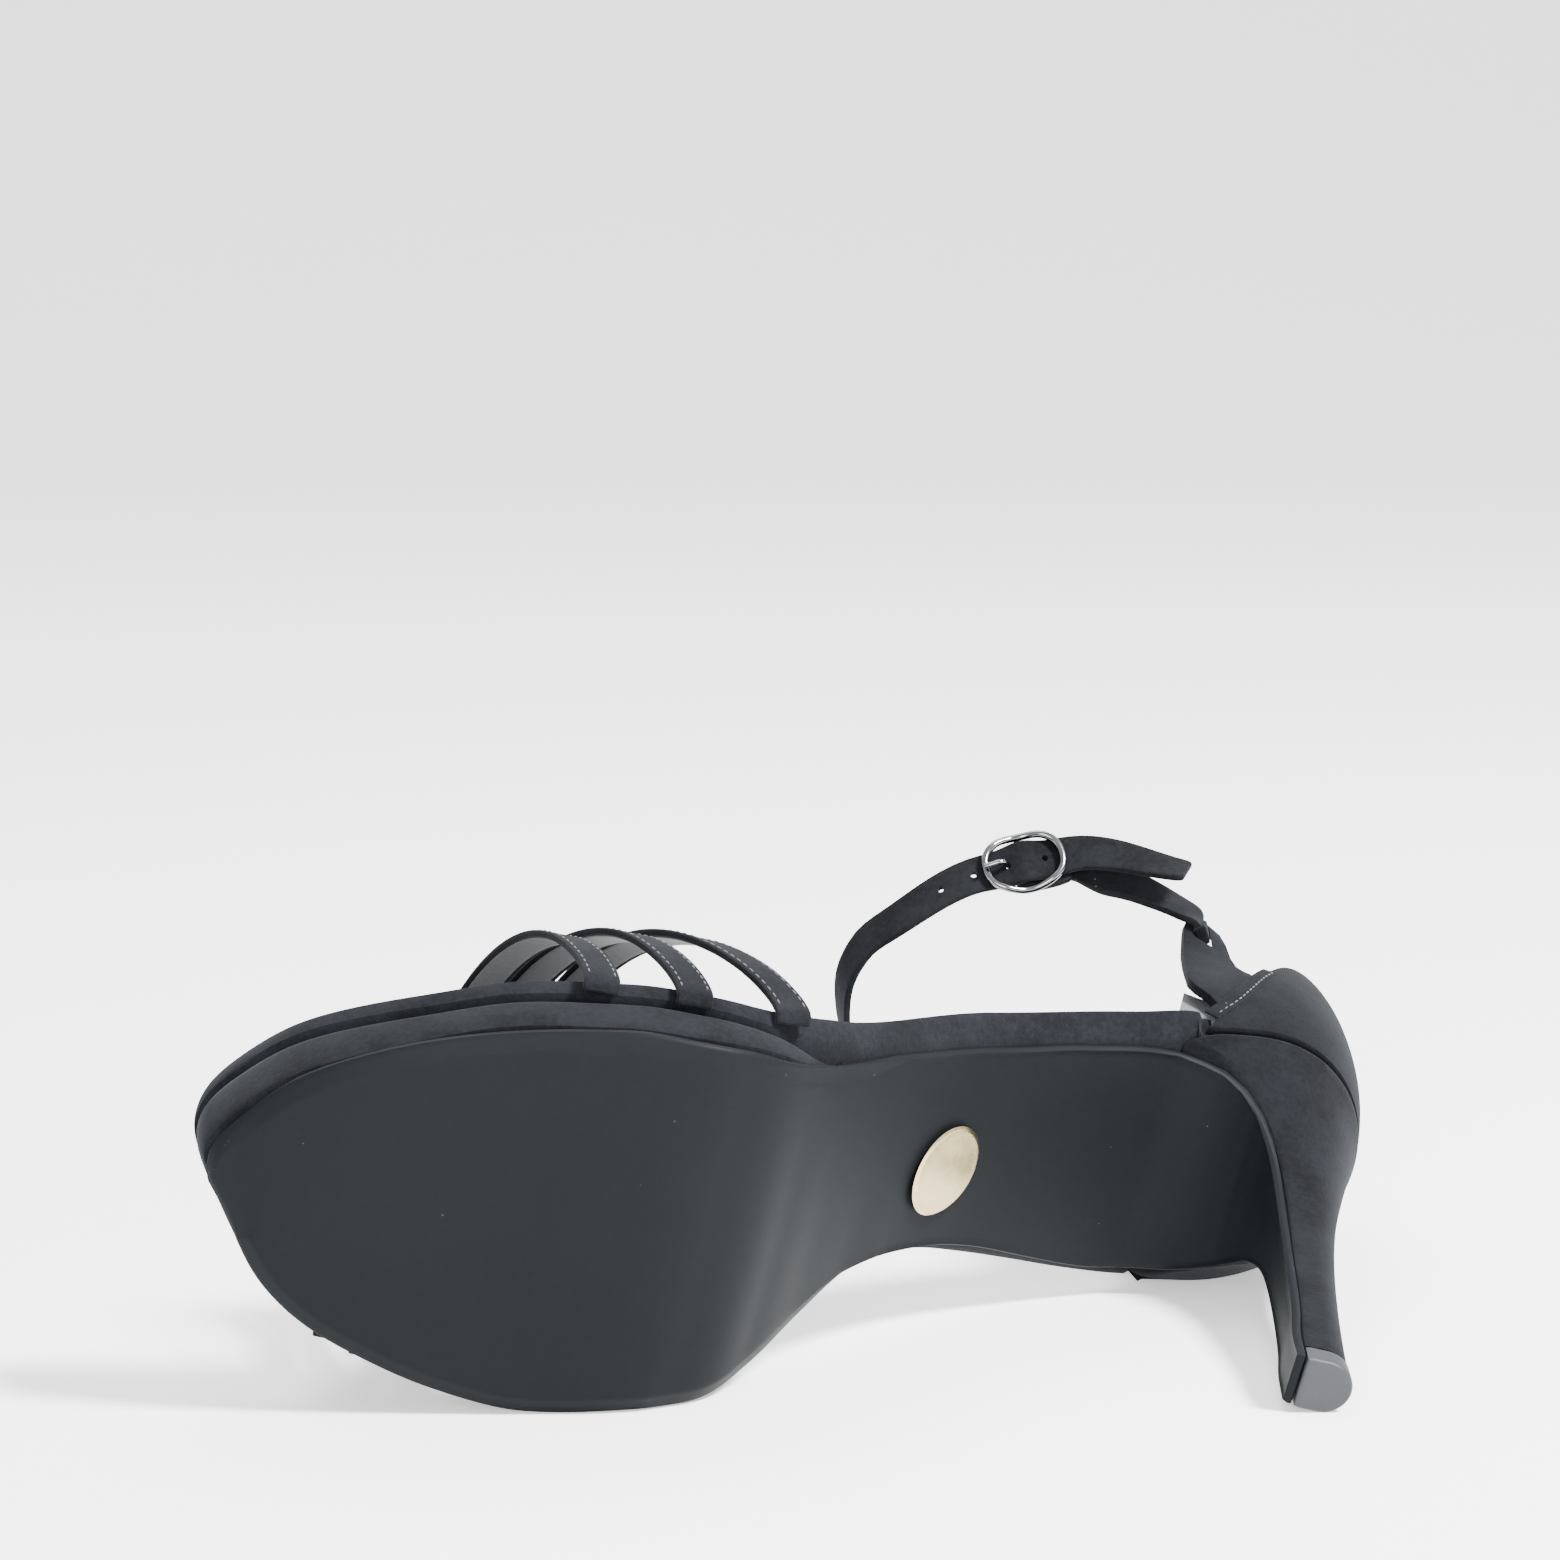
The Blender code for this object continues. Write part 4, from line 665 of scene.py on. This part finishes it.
bar = int(np.argmin(np.abs(route[:, 1] - 0.704 * ANKLE[1]) + 10 * (route[:, 0] >= 0)))
bar_run = float(route_run[bar])
held = 1 - ease(8.8 * MM, 13.5 * MM, np.abs(route_run - bar_run))[:, None]
held_along = unit(route[bar + 1] - route[bar - 1])
held_face = unit(route_face[bar] - held_along * np.dot(route_face[bar], held_along))
held_wide = np.cross(held_along, held_face)
held_wide = held_wide * np.sign(np.dot(held_wide, route_wide[bar]))
turned = np.array(Matrix.Rotation(math.radians(-10), 3, "Z"))
held_along, held_face, held_wide = turned @ held_along, turned @ held_face, turned @ held_wide
held_at = route[bar] + np.array([1.1 * MM, 0, 0])
route = route * (1 - held) + (held_at + held_along * (route_run - bar_run)[:, None]) * held
route_wide = unit(route_wide * (1 - held) + held_wide * held)
route_face = unit(route_face * (1 - held) + held_face * held)


def on_route(at, off):
    """Points at distances along the route, lifted off it, and the strap's width there."""
    spots, wide, face = along_line(at, route_run, route, route_wide, route_face)
    return spots + unit(face) * np.asarray(off)[..., None], unit(wide)


def ironed(line, wide, at, start, end):
    """A strap line with one stretch of it re-drawn as a single smooth bend."""
    first, last = (int(np.argmin(np.abs(at - place))) for place in (start, end))
    t = ((at[first:last + 1] - at[first]) / (at[last] - at[first]))[:, None]
    reach = np.linalg.norm(line[last] - line[first])
    leave = unit(line[first] - line[first - 1]) * reach
    arrive = line[last] - line[first] if last == len(line) - 1 else unit(line[last + 1] - line[last]) * reach
    line[first:last + 1] = ((2 * t ** 3 - 3 * t ** 2 + 1) * line[first] + (t ** 3 - 2 * t ** 2 + t) * leave
                            + (3 * t ** 2 - 2 * t ** 3) * line[last] + (t ** 3 - t ** 2) * arrive)
    wide[first:last + 1] = unit(wide[first] * (1 - t) + wide[last] * t)


def evenly(line, wide, width, step):
    """The same strap line, directions and widths at even steps."""
    run = run_length(line)
    at = np.linspace(0, run[-1], int(run[-1] / step))
    return (*along_line(at, run, line, wide), np.interp(at, run, width))


strap_half = STRAP_THICK / 2
layer = STRAP_THICK + GAP
over = BAR / 2 + GAP + layer + strap_half
rest = BUCKLE_ARCH - WIRE / 2 - GAP - strap_half
long_at = np.concatenate((np.linspace(route_run[-1], bar_run + 14 * MM, 60),
                          np.linspace(bar_run + 13.5 * MM, bar_run - 12 * MM, 60),
                          np.linspace(bar_run - 12.5 * MM, bar_run - FREE_END, 30)))
ahead = long_at - bar_run
lifted = ((over - rest) * np.exp(-(ahead / (3.0 * MM)) ** 2) + rest * (1 - ease(8.5 * MM, 16 * MM, ahead))
          + 7 * MM * ease(9 * MM, FREE_END * 1.15, -ahead))
long_line, long_wide = on_route(long_at, lifted)
ironed(long_line, long_wide, long_at, bar_run + 30 * MM, bar_run + 8.5 * MM)
ironed(long_line, long_wide, long_at, bar_run - 8.5 * MM, bar_run - FREE_END)
holes = [np.array([np.interp(-(bar_run + place * MM), -long_at, c) for c in long_line.T])
         for place in (17.8, 10.4, 3.1, -4.2)]
tail = np.clip((FREE_END + ahead) / (0.2 * STRAP_WIDTH), 0, 1)
long_width = (STRAP_WIDTH * (0.82 + 0.18 * np.sqrt(1 - (1 - tail) ** 2))
              * (1 + 0.16 * np.exp(-(ahead / (6 * MM)) ** 2)))
ankle_strap = band("ankle_strap_long", *evenly(long_line, long_wide, long_width, 0.7 * MM), STRAP_THICK)
for hole in holes:
    near_hole = int(np.argmin(np.linalg.norm(long_line - hole, axis=1)))
    through = unit(np.cross(long_line[near_hole + 1] - long_line[near_hole - 1], long_wide[near_hole]))
    bpy.ops.object.select_all(action="DESELECT")
    bpy.ops.mesh.primitive_cylinder_add(vertices=20, radius=0.65 * MM, depth=5 * MM, location=laid @ Vector(hole))
    punch = bpy.context.object
    punch.rotation_euler = (laid.to_3x3() @ Vector(through)).to_track_quat("Z", "Y").to_euler()
    only(ankle_strap)
    punched = ankle_strap.modifiers.new("punched", "BOOLEAN")
    punched.object = punch
    punched.solver = "EXACT"
    bpy.ops.object.modifier_apply(modifier="punched")
    bpy.data.objects.remove(punch, do_unlink=True)
bpy.ops.object.shade_smooth_by_angle(angle=math.radians(45))
strap_suede = suede("strap_suede", (0.0090, 0.0096, 0.0115), lint=0.6)
fit(ankle_strap, strap_suede, "ankle_strap", "ankle_strap")

for side, name in ((-1, "lateral"), (1, "medial")):
    away = np.abs(np.abs(route[:, 0]) - 28.5 * MM) + (np.sign(route[:, 0]) != side)
    step = int(np.argmin(away + (route[:, 1] > 0.4 * ANKLE[1])))
    sleeve_at = route_run[step] + np.linspace(-1.6, 1.6, 6) * MM
    sleeve_line, sleeve_wide = on_route(sleeve_at, 0 * sleeve_at)
    fit(band("slot_edge_" + name, sleeve_line, sleeve_wide, STRAP_WIDTH + 1.3 * MM, STRAP_THICK + 1.3 * MM),
        guide_suede_painted_shade, "guide_" + name)

# Buckle strap: the short strap from the outer guide, folded round the buckle's bar.
wrap = BAR / 2 + GAP + strap_half
low_run = rest - 2 * layer
arc = np.linspace(-math.pi / 2, math.pi / 2, 17)
run_in = np.linspace(0, bar_run - 2 * MM, 60)
back_at = np.linspace(bar_run - 2.6 * MM, bar_run - 10 * MM, 12)
short_at = np.concatenate((run_in, bar_run + wrap * np.cos(arc), back_at))
short_off = np.concatenate((low_run * ease(-26 * MM, -10 * MM, run_in - bar_run), wrap * np.sin(arc),
                            low_run + layer + 0 * back_at))
short_line, short_wide = on_route(short_at, short_off)
ironed(short_line[:60], short_wide[:60], run_in, bar_run - 18 * MM, bar_run - 8.5 * MM)
short_width = STRAP_WIDTH * (1 + 0.24 * ease(-13 * MM, -5 * MM, short_at - bar_run))
buckle_strap = band("buckle_strap_short", *evenly(short_line, short_wide, short_width, 0.5 * MM), STRAP_THICK)
fit(buckle_strap, strap_suede, "buckle_strap", "buckle_strap")

# Buckle: an oval ring of polished wire with a centre bar and a prong that lies over
# the strap on the ring's end.
bar_point = on_route(np.array([bar_run]), np.array([0.0]))[0][0]
bar_along = held_along
bar_face = held_face
bar_wide = np.cross(bar_face, bar_along)


def at_buckle(along, out, wide):
    """Point in the buckle's own frame."""
    return bar_point + bar_along * along + bar_face * out + bar_wide * wide


def wire_piece(name, line, radius, closed=False):
    """Round wire bent along a line of points on the standing shoe."""
    bpy.ops.object.select_all(action="DESELECT")
    bpy.ops.curve.primitive_nurbs_path_add(radius=1)
    wire = bpy.context.object
    wire.name = name
    wire.data.splines.clear()
    spline = wire.data.splines.new("POLY")
    spline.points.add(len(line) - 1)
    for point, place in zip(spline.points, line):
        point.co = (*(laid @ Vector(place)), 1)
    spline.use_cyclic_u = closed
    wire.data.dimensions = "3D"
    wire.data.bevel_depth = radius
    wire.data.bevel_resolution = 5
    wire.data.use_fill_caps = True
    bpy.ops.object.convert(target="MESH")
    wire = bpy.context.object
    bpy.ops.object.mode_set(mode="EDIT")
    bpy.ops.mesh.select_all(action="SELECT")
    bpy.ops.mesh.remove_doubles(threshold=0.000002)
    bpy.ops.mesh.normals_make_consistent(inside=False)
    bpy.ops.object.mode_set(mode="OBJECT")
    bpy.ops.object.shade_smooth_by_angle(angle=math.radians(50))
    return wire


silver, place, shader = new_finish("dark_silver", Metallic=1.0)
smear = place.noise(300, 3)
smear.blend((0.13, 0.13, 0.135, 1), (0.24, 0.24, 0.25, 1)).into(shader, "Base Color")
(0.10 + smear * 0.12).into(shader, "Roughness")
place.noise(1800, 2).relief(shader, 0.00002, 0.3)

turn = np.linspace(0, 2 * math.pi, 120, endpoint=False)
ring_long = BUCKLE_LONG / 2 - WIRE / 2
ring_wide = BUCKLE_WIDE / 2 - WIRE / 2
ring_t = np.sign(np.cos(turn)) * np.abs(np.cos(turn)) ** 0.86 * ring_long
ring_w = np.sign(np.sin(turn)) * np.abs(np.sin(turn)) ** 0.86 * ring_wide
ring_n = BUCKLE_SIDES + (BUCKLE_ARCH - BUCKLE_SIDES) * ease(0.05, 0.72, np.abs(ring_t) / ring_long)
ring_line = np.array([at_buckle(t, n, w) for t, n, w in zip(ring_t, ring_n, ring_w)])
ring_line = (np.roll(ring_line, 1, axis=0) + 2 * ring_line + np.roll(ring_line, -1, axis=0)) / 4
buckle_ring = wire_piece("buckle_ring", ring_line, WIRE / 2, closed=True)
fit(buckle_ring, silver, "buckle_frame", "buckle_frame")
dip = ring_wide - 1.0 * MM
bar_line = [at_buckle(0, n, w) for n, w in (
    (BUCKLE_SIDES, -ring_wide), (0.35 * BUCKLE_SIDES, -dip - 0.2 * MM), (0, -dip + 0.5 * MM),
    (0, dip - 0.5 * MM), (0.35 * BUCKLE_SIDES, dip + 0.2 * MM), (BUCKLE_SIDES, ring_wide))]
fit(wire_piece("buckle_bar", bar_line, BAR / 2), silver, "buckle_frame", "buckle_frame")
prong_top = BUCKLE_ARCH + WIRE / 2 + GAP + PRONG / 2
prong_rows = ((0.30, 0.10), (0.42, 0.55), (0.52, 1.00), (0.66, 1.12), (0.85, 1.03), (1.06, 1.00))
prong_line = np.array([at_buckle(ring_long * a, prong_top * b, 0) for a, b in prong_rows])
prong_line[0] = at_buckle(BAR / 2 + GAP + PRONG / 2, 0, 0)
prong_run = run_length(prong_line)
prong_line = along_line(np.linspace(0, prong_run[-1], 30), prong_run, prong_line)[0]
for _ in range(4):
    prong_line[1:-1] = 0.25 * prong_line[:-2] + 0.5 * prong_line[1:-1] + 0.25 * prong_line[2:]
fit(wire_piece("buckle_prong_wire", prong_line, PRONG / 2), silver, "buckle_prong", "buckle_prong")

# Badge: a small domed plate of pale gold metal under the waist, left bare.
badge = copy_of("badge", "badge_plate")
soften(badge, sharp=20, crease=0.6)
gold, place, shader = new_finish("pale_gold", Metallic=1.0)
brushed = place.noise(500, 3)
brushed.blend((0.50, 0.39, 0.19, 1), (0.62, 0.51, 0.29, 1)).into(shader, "Base Color")
(0.22 + brushed * 0.12).into(shader, "Roughness")
place.noise(1500, 2).relief(shader, 0.00002, 0.3)
fit(badge, gold, "badge", "badge")
